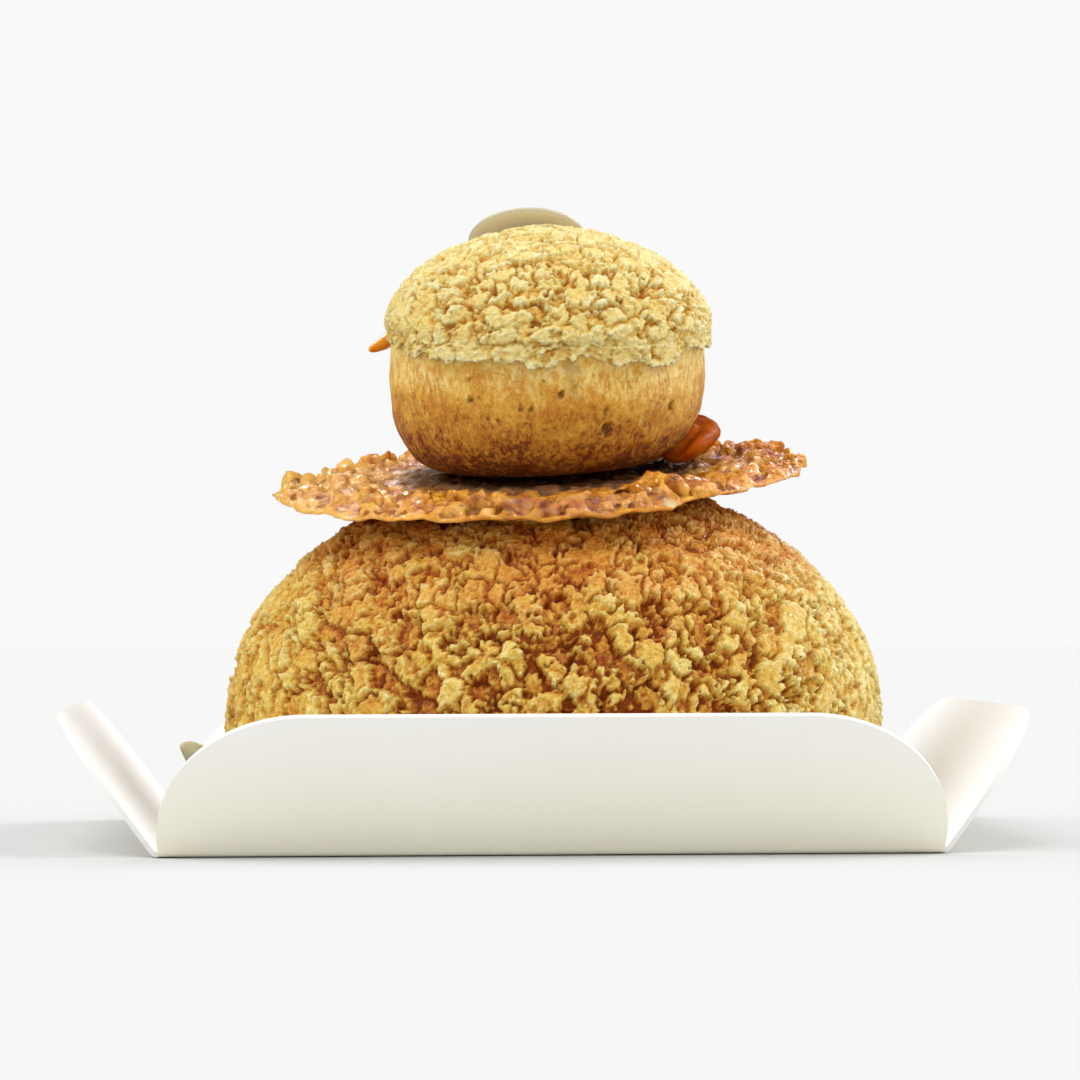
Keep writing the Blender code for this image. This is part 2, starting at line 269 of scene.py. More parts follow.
def smooth(low, high, value):
    """Goes from 0 at low to 1 at high, without a corner."""
    part = np.clip((value - low) / (high - low), 0.0, 1.0)
    return part * part * (3.0 - 2.0 * part)


def wander(points, scale, seed):
    """Smooth noise, about -1 to 1, whose lumps are roughly scale mm apart."""
    shifted = points / scale + seed * np.array([1.7, 3.1, 5.3])
    return np.array([noise.noise(p) for p in shifted.tolist()])


def lumps(points, scale, seed):
    """Rounded lumps roughly scale mm apart: 1 on their tops, about 0.2 in the creases between them."""
    shifted = points / scale + seed * np.array([1.1, 2.9, 3.7])
    return np.array([1 - noise.voronoi(p)[0][0] for p in shifted.tolist()])


def cells(points, scale, seed):
    """Irregular cells roughly scale mm wide.

    Per point: how near its cell's middle it is, how far from the next cell (0 at the edge), a random value
    of its cell, and the height there of a slope that its cell has to itself.
    """
    shifted = points / scale + seed * np.array([1.1, 2.9, 3.7])
    found = [noise.voronoi(p) for p in shifted.tolist()]
    first, second = np.array([distances[:2] for distances, _ in found]).T
    spots = np.array([places[0][:] for _, places in found])
    chance = np.sin(spots @ np.array([127.1, 311.7, 74.7])) * 43758.5 % 1.0
    lean = np.sin(spots @ np.array([[269.5, 183.3, 246.1], [113.5, 271.9, 124.6], [419.2, 371.9, 97.3]]))
    return 1 - first, second - first, chance, ((shifted - spots) * lean).sum(1)


def warp(points, scale, seed):
    """A smooth random direction at each point."""
    shifted = points / scale + seed * np.array([2.3, 0.7, 4.1])
    return np.array([noise.noise_vector(p) for p in shifted.tolist()])


def nearest(points, centres):
    """Per point: the distance to the nearest centre, and which centre that is."""
    distances, which = [], []
    for chunk in np.array_split(points, max(1, len(points) // 8000)):
        gaps = ((chunk[:, None] - centres[None]) ** 2).sum(-1)
        distances.append(np.sqrt(gaps.min(1)))
        which.append(gaps.argmin(1))
    return np.concatenate(distances), np.concatenate(which)


def hollows(mesh, rounds):
    """How far each vertex lies below the average of its surroundings, in mm."""
    edges = edges_of(mesh)
    points = points_of(mesh)
    count = np.bincount(edges.ravel(), minlength=len(points))[:, None]
    around = points.copy()
    for _ in range(rounds):
        total = np.zeros_like(around)
        np.add.at(total, edges[:, 0], around[edges[:, 1]])
        np.add.at(total, edges[:, 1], around[edges[:, 0]])
        around = total / np.maximum(count, 1)
    return ((around - points) * normals_of(mesh)).sum(1)


def attribute(mesh, name, values):
    """Gives the mesh a value per vertex, for its material to read."""
    made = mesh.attributes.new(name, "FLOAT", "POINT")
    made.data.foreach_set("value", np.asarray(values, np.float32))


# --- Materials ---


def add(tree, kind, inputs=None, **settings):
    """A node, with its settings, and its inputs set to values or linked to sockets."""
    made = tree.nodes.new(kind)
    for key, value in settings.items():
        setattr(made, key, value)
    for key, value in (inputs or {}).items():
        if isinstance(value, bpy.types.NodeSocket):
            tree.links.new(value, made.inputs[key])
        else:
            made.inputs[key].default_value = value
    return made


def after(kind, inputs, output=0, **settings):
    """An output of a new node, in the tree of the sockets among its inputs."""
    tree = next(value.id_data for value in inputs.values() if isinstance(value, bpy.types.NodeSocket))
    return add(tree, kind, inputs, **settings).outputs[output]


def material(name, roughness, **inputs):
    """A Principled material, and its tree."""
    made = bpy.data.materials.new(name)
    made.use_nodes = True
    shader = made.node_tree.nodes["Principled BSDF"]
    for key, value in {"Roughness": roughness, **inputs}.items():
        shader.inputs[key.replace("_", " ")].default_value = value
    return made, made.node_tree


def lit_through(weight, radius, scale):
    """Settings for light that spreads under the surface, by scale mm times each colour's radius."""
    return {"Subsurface_Weight": weight, "Subsurface_Radius": radius, "Subsurface_Scale": scale * MM}


def to_shader(look, **sockets):
    """Links sockets to the shader's inputs with their names, which finishes the material."""
    shader = look.node_tree.nodes["Principled BSDF"]
    for key, socket in sockets.items():
        look.node_tree.links.new(socket, shader.inputs[key.replace("_", " ")])
    return look


def place_node(tree, stretch=(1.0, 1.0, 1.0)):
    """The object's own coordinates, in mm, stretched to make streaks."""
    where = add(tree, "ShaderNodeTexCoord").outputs["Object"]
    return after("ShaderNodeMapping", {"Vector": where, "Scale": [s / MM for s in stretch]})


def attribute_node(tree, name):
    return add(tree, "ShaderNodeAttribute", attribute_name=name).outputs["Fac"]


def noise_node(where, scale, detail=3.0, roughness=0.5, distortion=0.0):
    inputs = {"Vector": where, "Scale": scale, "Detail": detail, "Roughness": roughness}
    return after("ShaderNodeTexNoise", {**inputs, "Distortion": distortion})


def cell_node(where, scale):
    """(height, random value) of round grains."""
    made = add(where.id_data, "ShaderNodeTexVoronoi", {"Vector": where, "Scale": scale})
    return maths("SUBTRACT", 1.0, made.outputs["Distance"]), made.outputs["Color"]


def maths(operation, a, b=0.0, clamp=False):
    return after("ShaderNodeMath", {0: a, 1: b}, operation=operation, use_clamp=clamp)


def plus(a, b, clamp=False):
    return maths("ADD", a, b, clamp)


def times(a, b, clamp=False):
    return maths("MULTIPLY", a, b, clamp)


def span(value, low, high, to_low=0.0, to_high=1.0):
    """Goes from to_low to to_high as a value goes from low to high, and stays there beyond."""
    inputs = {"Value": value, "From Min": low, "From Max": high, "To Min": to_low, "To Max": to_high}
    return after("ShaderNodeMapRange", inputs)


def stirred(value, *swings):
    """A value moved up and down by noises, each given with its reach."""
    for swing, reach in swings:
        value = plus(value, span(swing, 0.3, 0.7, -reach, reach))
    return value


def mix(factor, a, b, blend="MIX"):
    """A mix of two colours, each a socket or a triple."""
    a, b = (colour if isinstance(colour, bpy.types.NodeSocket) else (*colour, 1.0) for colour in (a, b))
    return after("ShaderNodeMix", {0: factor, 6: a, 7: b}, 2, data_type="RGBA", blend_type=blend)


def tinted(factor, colour, tint):
    """A colour, and by a factor the colour times a tint."""
    return mix(factor, colour, mix(1.0, colour, tint, "MULTIPLY"))


def ramp(factor, stops):
    """A colour from a list of (place, colour)."""
    made = add(factor.id_data, "ShaderNodeValToRGB", {"Fac": factor})
    elements = made.color_ramp.elements
    while len(elements) < len(stops):
        elements.new(0.5)
    for element, (at, colour) in zip(elements, stops):
        element.position = at
        element.color = (*colour, 1.0)
    return made.outputs[0]


def bump(height, distance, normal=None):
    """A bump of a height in mm for each step of 1 in the height socket."""
    inputs = {"Height": height, "Distance": distance * MM, "Strength": 1.0}
    if normal is not None:
        inputs["Normal"] = normal
    return after("ShaderNodeBump", inputs)


# --- Frames from the CAD ---


def box_of(node):
    """(middle, half the width) of a CAD node's box, in mm."""
    low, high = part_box(node)
    return (low + high) / 2 / MM, (high.x - low.x) / 2 / MM


def crisp_place():
    """The crisp's own frame, in mm: its middle, with its tilt."""
    middle, _ = box_of("caramel_nut_crisp")
    lean = Matrix.Rotation(-ROLL, 4, "Y") @ Matrix.Rotation(PITCH, 4, "X")
    middle.z -= CRISP_ABOVE
    return Matrix.Translation(middle) @ lean


CRISP = crisp_place()


def seat_height(x, y, above):
    """Height at x and y of the plane that lies a given way above the crisp's middle plane."""
    normal = CRISP.to_3x3() @ Vector((0.0, 0.0, 1.0))
    origin = CRISP @ Vector((0.0, 0.0, above))
    return origin.z - (normal.x * (x - origin.x) + normal.y * (y - origin.y)) / normal.z


def small_place():
    """The small bun's own frame, in mm: the middle of its base on the nuts, leaning as the crisp does."""
    low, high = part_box("small_choux_bun")
    x = (low.x + high.x) / 2 / MM
    y = CRISP.translation.y + SEAT[1]
    base = Vector((x, y, seat_height(x, y, SMALL_LIFT)))
    return Matrix.Translation(base) @ Matrix.Rotation(PITCH, 4, "X")


SMALL = small_place()


BUN_MIDDLE, BUN_RADIUS = box_of("large_choux_bun")
BUN_MIDDLE.z = 0.0


def finish_piece(name, mesh, look, node, place=None):
    """Brings a mesh from mm in its own frame into the scene, as a piece that stands for a CAD node."""
    if place is not None:
        mesh.transform(place)
    mesh.transform(Matrix.Scale(MM, 4))
    mesh.materials.clear()
    mesh.materials.append(look)
    piece = bpy.data.objects.new(name, mesh)
    bpy.context.scene.collection.objects.link(piece)
    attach(piece, "root")
    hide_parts(node)


# --- Craquelin ---


BALL = icosphere(2)
CRUMB = icosphere(1)
GRAIN = (
    np.array([(1, 0, 0), (-1, 0, 0), (0, 1, 0), (0, -1, 0), (0, 0, 1), (0, 0, -1)], float),
    np.array([(0, 2, 4), (2, 1, 4), (1, 3, 4), (3, 0, 4), (2, 0, 5), (1, 2, 5), (3, 1, 5), (0, 3, 5)]),
)


def crumble(points, loose, plate, gone, seed):
    """Relief of craquelin, in mm from its outline, and a tint for each of its crumbs.

    Plates with ragged cracks between them stand over gaps, and all are made of crumbs and those of grains.
    loose is 1 where the crust has broken up, and 0 where it is smooth and close. The higher gone is, the more
    of the crust's outline is missing between the plates.
    """
    rough = 0.3 * wander(points, 0.95, seed) + 0.22 * wander(points, 0.5, seed + 1)
    bent = points + 0.6 * warp(points, 1.5, seed + 3) + 0.25 * warp(points, 0.55, seed + 4)
    _, gap, chance, slope = cells(bent, plate, seed + 5)
    middle, split, tint, _ = cells(bent, 0.45 * plate, seed + 6)
    grain = cells(points, 0.5, seed + 7)[0]
    edge = rough + 0.3 * (grain - 0.7)
    island = smooth(gone - 0.07, gone + 0.07, wander(points, 0.85 * plate, seed + 8) + edge)
    upper = smooth(-0.1, 0.04, wander(points, 1.3 * plate, seed + 9) + edge)
    opened = smooth(-0.35, 0.0, wander(points, plate, seed + 10) + 0.5 * rough)
    relief = -0.05 - (0.22 + 0.62 * loose) * (1 - island) - (0.08 + 0.24 * loose) * (1 - upper)
    cracks = (0.3 + 0.35 * loose) * opened * smooth(0.18, 0.05, gap + 0.2 * rough)
    relief -= cracks + (0.15 + 0.15 * loose) * slope
    relief -= (0.1 + 0.2 * loose) * (1 - chance) + (0.02 + 0.08 * loose) * smooth(0.15, 0.0, split)
    relief += (0.06 + 0.1 * loose) * (middle - 0.8) + (0.1 + 0.16 * loose) * (grain - 0.8)
    return np.minimum(relief, -0.02), 0.35 + 0.2 * tint + 0.2 * chance


def sunk(relief, rounds):
    """How far each point of a grid of reliefs lies below its surroundings, in mm."""
    around = relief
    for _ in range(rounds):
        beside = np.roll(around, 1, 1) + np.roll(around, -1, 1)
        around = (beside + np.vstack([around[:1], around[:-1]]) + np.vstack([around[1:], around[-1:]])) / 4
    return around - relief


def crust_mesh(name, points, relief, tint, level, lowest):
    """A crust from a grid of points, with what its colours come from: relief and hollows, which paint shade
    into its cracks, height, and tints, which on the large bun include painted light on its sides.
    """
    mesh = mesh_of(name, *grid_solid(points, len(relief)))
    ends = [0, -1]
    made = {
        "relief": np.clip(1 - relief / lowest, 0, 1),
        "hollow_shade": np.clip(0.5 + sunk(relief, 8) / 0.5, 0, 1),
        "level": level.reshape(relief.shape),
        "tint": tint.reshape(relief.shape),
    }
    for key, values in made.items():
        attribute(mesh, key, np.append(values.ravel(), values[ends, 0]))
    return mesh


def slices(whole, count, pieces):
    """A crust's mesh of so many segments, cut into upright pieces that leave out its closed bottom."""
    points, normals = points_of(whole), normals_of(whole)
    rings = (len(points) - 2) // count
    wide = count // pieces
    start = count * 7 // 12  # keeps the cuts off the middle of the front
    made = []
    for piece in range(pieces):
        columns = (np.arange(wide + 1) + piece * wide + start) % count
        chosen = np.append((np.arange(rings)[:, None] * count + columns).ravel(), len(points) - 1)
        low = (np.arange(rings - 1)[:, None] * (wide + 1) + np.arange(wide)).ravel()
        high = low + wide + 1
        top = (rings - 1) * (wide + 1) + np.arange(wide)
        fan = np.stack([top, top + 1, np.full(wide, len(chosen) - 1)], -1)
        faces = [np.stack([low, low + 1, high + 1], -1), np.stack([low, high + 1, high], -1), fan]
        mesh = mesh_of(f"{whole.name}_{piece}", points[chosen], np.vstack(faces))
        for key in ("relief", "hollow_shade", "level", "tint"):
            attribute(mesh, key, value_of(whole, key)[chosen])
        mesh.normals_split_custom_set_from_vertices(normals[chosen])
        made.append(mesh)
    return made


# --- Large bun ---


def bun_outline(angle):
    """(radius, height) of the large bun at an angle up or down from its widest level."""
    below = angle < 0
    radius = np.where(below, np.maximum(np.cos(angle), 0) ** 0.6, np.cos(angle)) * BUN_RADIUS
    height = BUN_WIDEST + np.where(below, BUN_DEPTH, BUN_DOME) * np.sin(angle)
    return radius, height


def bun_normals(points):
    """Outward directions on the large bun, whose axis is the origin's."""
    flat = points / np.array([BUN_RADIUS**2, BUN_RADIUS**2, BUN_DOME**2])
    flat[:, 2] -= BUN_WIDEST / BUN_DOME**2
    return flat / np.linalg.norm(flat, axis=1)[:, None]


def press(points, spare):
    """Keeps points of the large bun's crust under the crisp that rests on it."""
    high = points[:, 2] > BUN_WIDEST + BUN_DOME / 2
    placed = points[high] + np.array(BUN_MIDDLE)
    back = np.array(CRISP.inverted())
    own = placed @ back[:3, :3].T + back[:3, 3]
    ceiling = seat_height(placed[:, 0], placed[:, 1], -CRISP_HALF - spare)
    ceiling += crisp_warp(own * FLATTEN)
    points[high, 2] = np.minimum(points[high, 2], ceiling)


def calm(points):
    """0 where the large bun's crust is crumbly, as at its front and back, to 1 where it is smoother."""
    side = smooth(0.55, 0.95, np.abs(points[:, 0]) / BUN_RADIUS)
    return np.clip(side + 0.45 * wander(points, 14.0, 3), 0, 1)


def grid_points(radii, levels, count, rng=None):
    """(rings * count) points round the axis, one radius and height per ring, shuffled a little by rng."""
    rings = np.arange(len(radii))
    turn = np.tile(np.arange(count, dtype=float), (len(radii), 1))
    if rng is not None:
        turn += rng.uniform(-0.3, 0.3, turn.shape)
        at = rings[:, None] + rng.uniform(-0.3, 0.3, turn.shape)
        radii, levels = np.interp(at, rings, radii), np.interp(at, rings, levels)
    else:
        radii, levels = radii[:, None] + 0 * turn, levels[:, None] + 0 * turn
    return round_points(radii, turn * (2 * pi / count), levels)


def grid_solid(points, rings):
    """Closes a grid of points round the axis at both ends."""
    grid = points.reshape(rings, -1, 3)
    _, faces = polar_solid(grid[..., 0], grid[..., 2])
    return np.vstack([points, grid.mean(1)[[0, -1]]]), faces


def even(curve, low, high, step):
    """Values from low to high whose points on a curve are step mm apart."""
    fine = np.linspace(low, high, 2000)
    length = np.append(0, np.cumsum(np.hypot(*np.diff(curve(fine)))))
    return np.interp(np.arange(0, length[-1], step), length, fine)


def large_crust():
    """The large bun's crust, with painted light that makes it paler at its sides, most on the right, and with
    a ragged lower edge.
    """
    rng = np.random.default_rng(11)
    seen = even(bun_outline, radians(-28), radians(67), LARGE_STEP)
    angle = np.append(seen, np.linspace(radians(68.5), radians(86), 10))
    points = grid_points(*bun_outline(angle), LARGE_SEGMENTS, rng)
    quiet = calm(points)
    drawn = points * np.stack([np.ones(len(points)), np.ones(len(points)), 0.88 - 0.25 * quiet], -1)
    loose = (1 - 0.65 * quiet) * (1 - 0.4 * smooth(20.0, 30.0, points[:, 2]))
    relief, tint = crumble(drawn, loose, 3.0, -0.2, 1)
    east = points[:, 0] / BUN_RADIUS
    # painted light: the tint rises towards the right side and a little towards the left, as where light falls
    # on the sides
    tint += 1.0 * smooth(0.2, 0.9, east) + 0.3 * smooth(0.5, 0.95, -east)
    flat = points * FLATTEN
    ragged = 8.0 + 1.0 * wander(flat, 4.0, 6) + 0.9 * wander(flat, 1.5, 7)
    relief -= (relief + 2.0) * smooth(ragged + 0.3, ragged - 0.4, points[:, 2])
    points += bun_normals(points) * relief[:, None]
    press(points, 0.12)
    level = points[:, 2] / 38.0 - 0.25 * quiet  # near 1 at the top, and lower where the crust is smooth
    return crust_mesh("large_bun_crust", points, relief.reshape(len(angle), -1), tint, level, -1.9)


def loose_grains(name, crust, count, low, high, seed, wanted):
    """Grains on a crust, each with its own tint and the crust's colours where it sits, its painted shade
    included.
    """
    rng = np.random.default_rng(seed)
    spots, normals, near = surface_spots(crust, count, rng, wanted)
    size = low + (high - low) * rng.uniform(size=count) ** 1.6
    spots = spots - normals * (0.35 * size)[:, None]
    mesh = mesh_of(name, *blobs(spots, size, rng, GRAIN, 0.13, 0.3))
    owner = np.repeat(np.arange(count), len(GRAIN[0]))
    for key in ("relief", "hollow_shade", "level"):
        attribute(mesh, key, value_of(crust, key)[near][owner])
    attribute(mesh, "tint", rng.uniform(0.3, 1.2, count)[owner])
    return mesh


def crust_look(name, stops, toasted, toast_from, toast_to, sugar):
    """Craquelin, all of fine grains of sugar: dark in its cracks and pale on its tops, partly its own tone
    and partly painted shade in its hollows, with pale sugar crystals that also stand in for painted glints.
    """
    look, tree = material(name, 0.6, Specular_IOR_Level=0.15, **lit_through(0.15, (1.0, 0.5, 0.18), 0.5))
    where = place_node(tree)
    grain = noise_node(where, 1.5, 4.0, 0.65)
    fine = noise_node(where, 4.2, 3.0, 0.7)
    patch = noise_node(where, 0.6, 2.0)
    round_grain, grain_tint = cell_node(where, 2.3)
    relief = attribute_node(tree, "relief")
    open_sky = maths("SUBTRACT", 1.0, attribute_node(tree, "hollow_shade"))
    # painted shade: the lower the relief and the less open sky over it, the darker the colour, besides the
    # crust's own darker cracks
    lit = plus(times(relief, 0.55), times(open_sky, 0.45))
    lit = stirred(lit, (patch, 0.08), (grain, 0.09), (fine, 0.09))
    lit = plus(lit, span(round_grain, 0.4, 0.95, -0.1, 0.05))
    lit = plus(lit, span(grain_tint, 0.2, 0.8, -0.07, 0.07))
    # the tint holds random crumb tints, and on the large bun also painted light on its sides
    lit = plus(lit, span(attribute_node(tree, "tint"), 0.0, 2.0, -0.1, 0.3), clamp=True)
    blotch = noise_node(where, 0.22, 2.0)
    toast = span(attribute_node(tree, "level"), toast_from, toast_to)
    toast = plus(toast, span(blotch, 0.35, 0.65, -0.25, 0.25), clamp=True)
    colour = tinted(toast, ramp(lit, stops), toasted)
    # pale sugar crystals on the tops: partly the sugar's own colour, partly painted glints
    crystal, crystal_kind = cell_node(where, 4.0)
    crystal = times(span(crystal, 0.7, 0.85), span(crystal_kind, 0.66, 0.7), clamp=True)
    colour = mix(times(times(crystal, relief), 0.45), colour, sugar)
    rough = bump(fine, 0.1, bump(round_grain, 0.13, bump(grain, 0.15)))
    gloss = span(grain_tint, 0.25, 0.75, 0.18, 0.8)
    return to_shader(look, Base_Color=colour, Normal=rough, Roughness=gloss)


def choux_relief(points, seed, amount):
    """Fine upright fibres and lumps over shallow dents, on a bun's bare choux."""
    streak = wander(points * np.array([1, 1, 0.35]), 0.8, seed)
    streak += wander(points * np.array([1, 1, 0.6]), 1.3, seed + 1)
    dents = 0.16 * wander(points, 3.2, seed + 2)
    return amount * streak + dents + amount * (lumps(points, 1.1, seed + 3) - 0.5)


def outwards(points):
    """Level directions away from the axis."""
    flat = points * FLATTEN
    return flat / np.maximum(np.linalg.norm(flat, axis=1), 0.01)[:, None]


def large_body():
    """The bare choux under the crust's ragged edge, closed off out of sight inside the crust."""
    seen = np.linspace(radians(-78), radians(-12), 32)
    angle = np.append(seen, np.linspace(radians(-9), radians(20), 4))
    radii, levels = bun_outline(angle)
    radii = radii - 0.9 - 2.2 * smooth(9.0, 11.5, levels)
    points = grid_points(radii, levels, 220)
    wrinkle = 0.22 * wander(points * np.array([0.5, 0.5, 1.4]), 2.0, 34)
    points += outwards(points) * (choux_relief(points, 31, 0.06) + wrinkle)[:, None]
    points[:, 2] = np.maximum(points[:, 2], 0.85)
    mesh = mesh_of("large_bun_body", *grid_solid(points, len(angle)))
    attribute(mesh, "level", points_of(mesh)[:, 2] / 12.0)
    attribute(mesh, "shaded_pit", np.zeros(len(mesh.vertices)))
    return mesh


def choux_look(name, stops, band_at, band_reach, band_colour):
    """Bare choux: browner towards its base, mottled and porous, with painted shade in its pores and pits, and
    a pale stretched band of fibres.
    """
    look, tree = material(name, 0.6, Specular_IOR_Level=0.2, **lit_through(0.15, (1.0, 0.5, 0.2), 0.6))
    where = place_node(tree)
    mottle = noise_node(where, 0.5, 5.0, 0.7)
    blotch = noise_node(where, 0.17, 3.0, 0.6)
    fine = noise_node(place_node(tree, (1.0, 1.0, 0.7)), 1.7, 5.0, 0.75)
    fibre = noise_node(place_node(tree, (1.0, 1.0, 0.4)), 2.2, 3.0, 0.6)
    level = attribute_node(tree, "level")
    at = stirred(level, (blotch, 0.12), (mottle, 0.22), (fine, 0.3), (fibre, 0.13))
    colour = ramp(plus(at, 0.0, clamp=True), stops)
    skin = span(noise_node(place_node(tree, (1.0, 1.0, 0.8)), 0.3, 6.0, 0.7), 0.49, 0.54)
    skin = times(skin, span(level, 0.95, 0.8), clamp=True)
    colour = tinted(times(skin, 0.75), colour, (0.84, 0.66, 0.42))
    off = maths("SUBTRACT", plus(level, span(blotch, 0.3, 0.7, -0.12, 0.12)), band_at)
    torn = times(span(fibre, 0.42, 0.6), span(mottle, 0.4, 0.55), clamp=True)
    band = times(span(maths("ABSOLUTE", off), band_reach, 0.0), torn, clamp=True)
    colour = mix(band, colour, band_colour)
    hole, hole_size = cell_node(where, 0.8)
    # painted shade: pores and the pits and split of the bare side are coloured dark brown
    shaded_pores = times(span(hole, 0.8, 0.9), span(hole_size, 0.5, 0.6), clamp=True)
    shaded_pores = maths("MAXIMUM", times(shaded_pores, 0.6), attribute_node(tree, "shaded_pit"))
    colour = mix(shaded_pores, colour, (0.28, 0.1, 0.015))
    rough = bump(fine, 0.4, bump(fibre, 0.14, bump(mottle, 0.4)))
    rough = bump(maths("SUBTRACT", 1.0, shaded_pores), 0.15, rough)
    return to_shader(look, Base_Color=colour, Normal=rough, Roughness=span(mottle, 0.3, 0.7, 0.42, 0.68))


# --- Small bun ---


def small_profile(turn):
    """(radius, height) of the small bun's crust at an angle up from its rim."""
    height = np.sign(turn) * np.abs(np.sin(turn)) ** (2 / SMALL_ROUND)
    return SMALL_RADIUS * np.cos(turn) ** (2 / SMALL_ROUND), SMALL_RIM + (SMALL_HEIGHT - SMALL_RIM) * height


def small_normals(points):
    """Outward directions on the small bun's crust."""
    out = np.hypot(points[:, 0], points[:, 1]) / SMALL_RADIUS
    up = (points[:, 2] - SMALL_RIM) / (SMALL_HEIGHT - SMALL_RIM)
    found = outwards(points) * (out ** (SMALL_ROUND - 1) / SMALL_RADIUS)[:, None]
    found[:, 2] = np.sign(up) * np.abs(up) ** (SMALL_ROUND - 1) / (SMALL_HEIGHT - SMALL_RIM)
    return found / np.linalg.norm(found, axis=1)[:, None]


def rim_level(points):
    """How low the small bun's crust reaches: ragged, and lowest at the front."""
    flat = points * FLATTEN
    front = smooth(0.2, 1.0, -points[:, 1] / SMALL_RADIUS)
    return 13.1 - 1.1 * front + 0.9 * wander(flat, 5.0, 41) + 1.2 * wander(flat, 1.7, 42)


def taper(points):
    """How much thinner the small bun's crust is near its rim, in mm: least where it lifts off."""
    right = smooth(0.75, 0.97, points[:, 0] / SMALL_RADIUS)
    lifted = np.maximum(right, smooth(0.3, 0.8, -points[:, 1] / SMALL_RADIUS))
    return 0.4 * (1 - lifted) * smooth(3.0, 0.3, points[:, 2] - rim_level(points))


def crumbly(points):
    """1 where the small bun's crust is broken into crumbs, low on its front and back, to 0 on its plates."""
    front = smooth(0.15, 0.7, np.abs(points[:, 1]) / SMALL_RADIUS) * smooth(25.5, 22.0, points[:, 2])
    return np.clip(front * 0.9 + 0.35 * wander(points, 8.0, 43), 0, 1)


def small_crust():
    """The small bun's crust, with a lip inside the bare side that its ragged rim hangs over."""
    rng = np.random.default_rng(23)
    radii, levels = small_profile(even(small_profile, radians(-8), radians(89), SMALL_STEP))
    lip = np.arange(9.2, levels[0] - 0.05, SMALL_STEP)
    radii = np.append(np.full(len(lip), SMALL_RADIUS), radii)
    levels = np.append(lip, levels)
    points = grid_points(radii, levels, SMALL_SEGMENTS, rng)
    relief, tint = crumble(points, 0.12 + 0.5 * crumbly(points), 2.8, -0.33, 21)
    relief *= 1 - 0.4 * smooth(18.0, 14.5, points[:, 2])
    relief -= taper(points)
    rim = rim_level(points) + 2.0 * (tint - 0.5)
    relief -= (relief + 2.2) * smooth(rim + 0.2, rim - 0.3, points[:, 2])
    points += small_normals(points) * relief[:, None]
    level = points[:, 2] / SMALL_HEIGHT
    return crust_mesh("small_bun_crust", points, relief.reshape(len(radii), -1), tint, level, -1.5)


def small_body():
    """The bare choux below the small bun's crust, closed off out of sight inside the crust."""
    bend = np.linspace(0, pi / 2, 34)
    side = np.linspace(SMALL_BEND, 15.5, 34)[1:]
    radii = np.concatenate(
        [
            [6.0, 9.5],
            SMALL_FLAT + (SMALL_WAIST - SMALL_FLAT) * np.sin(bend),
            SMALL_WAIST - 0.1 * smooth(9.0, 12.0, side) - 1.6 * smooth(14.4, 15.5, side),
            [14.5, 8.0],
        ]
    )
    levels = np.concatenate([[0.0, 0.0], SMALL_BEND * (1 - np.cos(bend)), side, [16.5, 17.0]])
    points = grid_points(radii, levels, 360)
    depth = pits(points)
    relief = (choux_relief(points, 61, 0.09) - depth) * smooth(0.3, 3.0, points[:, 2])
    points += outwards(points) * relief[:, None]
    points[:, 2] += np.tan(ROLL) * points[:, 0] * smooth(SMALL_RIM, 0.0, points[:, 2])
    mesh = mesh_of("small_bun_body", *grid_solid(points, len(radii)))
    attribute(mesh, "level", points_of(mesh)[:, 2] / 14.0)
    attribute(mesh, "shaded_pit", np.append(np.clip(depth / 0.45, 0, 1), [0, 0]))
    return mesh


def pits(points):
    """Depth of the small holes and the split in the small bun's bare side, in mm."""
    rng = np.random.default_rng(7)
    azimuth = np.concatenate([radians(-90) + np.array([-0.55, 0.33, 0.83]), rng.uniform(-pi, pi, 22)])
    height = np.concatenate([[8.6, 5.4, 7.0], rng.uniform(3.0, 12.0, 22)])
    size = np.concatenate([[0.4, 0.55, 0.45], rng.uniform(0.2, 0.42, 22)])
    depth = np.zeros(len(points))
    turn = np.arctan2(points[:, 1], points[:, 0])
    for a, h, s in zip(azimuth, height, size):
        gap = (turn - a + pi) % (2 * pi) - pi
        near = np.hypot(gap * SMALL_WAIST / s, (points[:, 2] - h) / s * 0.8)
        depth += 1.1 * s * smooth(1.0, 0.6, near)
    for a, width in ((radians(-84), 0.9), (radians(64), 0.6), (radians(171), 0.5)):
        gap = ((turn - a + pi) % (2 * pi) - pi) * SMALL_WAIST
        gap += 0.9 * wander(points * np.array([0, 0, 1]), 1.5, 71) + 0.7 * wander(points, 0.9, 72)
        split = smooth(width, 0.1, np.abs(gap)) * smooth(7.5, 9.5, points[:, 2])
        depth += 0.18 * split
    return depth


# --- Caramel nut crisp ---


def crisp_edge(azimuth):
    """Radius of the crisp's ragged outline, with a chip out of its front right."""
    way = np.stack([np.cos(azimuth), np.sin(azimuth), np.zeros_like(azimuth)], -1)
    broad = np.array([noise.noise(Vector(w) * 1.6 + Vector((4.0, 0.0, 0.0))) for w in way.tolist()])
    fine = np.array([noise.noise(Vector(w) * 5.5 + Vector((0.0, 9.0, 0.0))) for w in way.tolist()])
    tiny = wander(way * CRISP_RADIUS, 1.9, 5) + 0.6 * wander(way * CRISP_RADIUS, 0.8, 4)
    chip = smooth(radians(-66), radians(-61), azimuth) * smooth(radians(-10), radians(-32), azimuth)
    return CRISP_RADIUS + 0.9 * (broad + 0.9 * fine) - 2.6 * chip + 0.5 * tiny - 0.25


def crisp_warp(points):
    """How high the crisp's middle bends from flat."""
    shifted = points / 16.0 + np.array([1.0, 2.0, 5.0])
    return 0.5 * np.array([noise.noise(p) for p in shifted.tolist()])


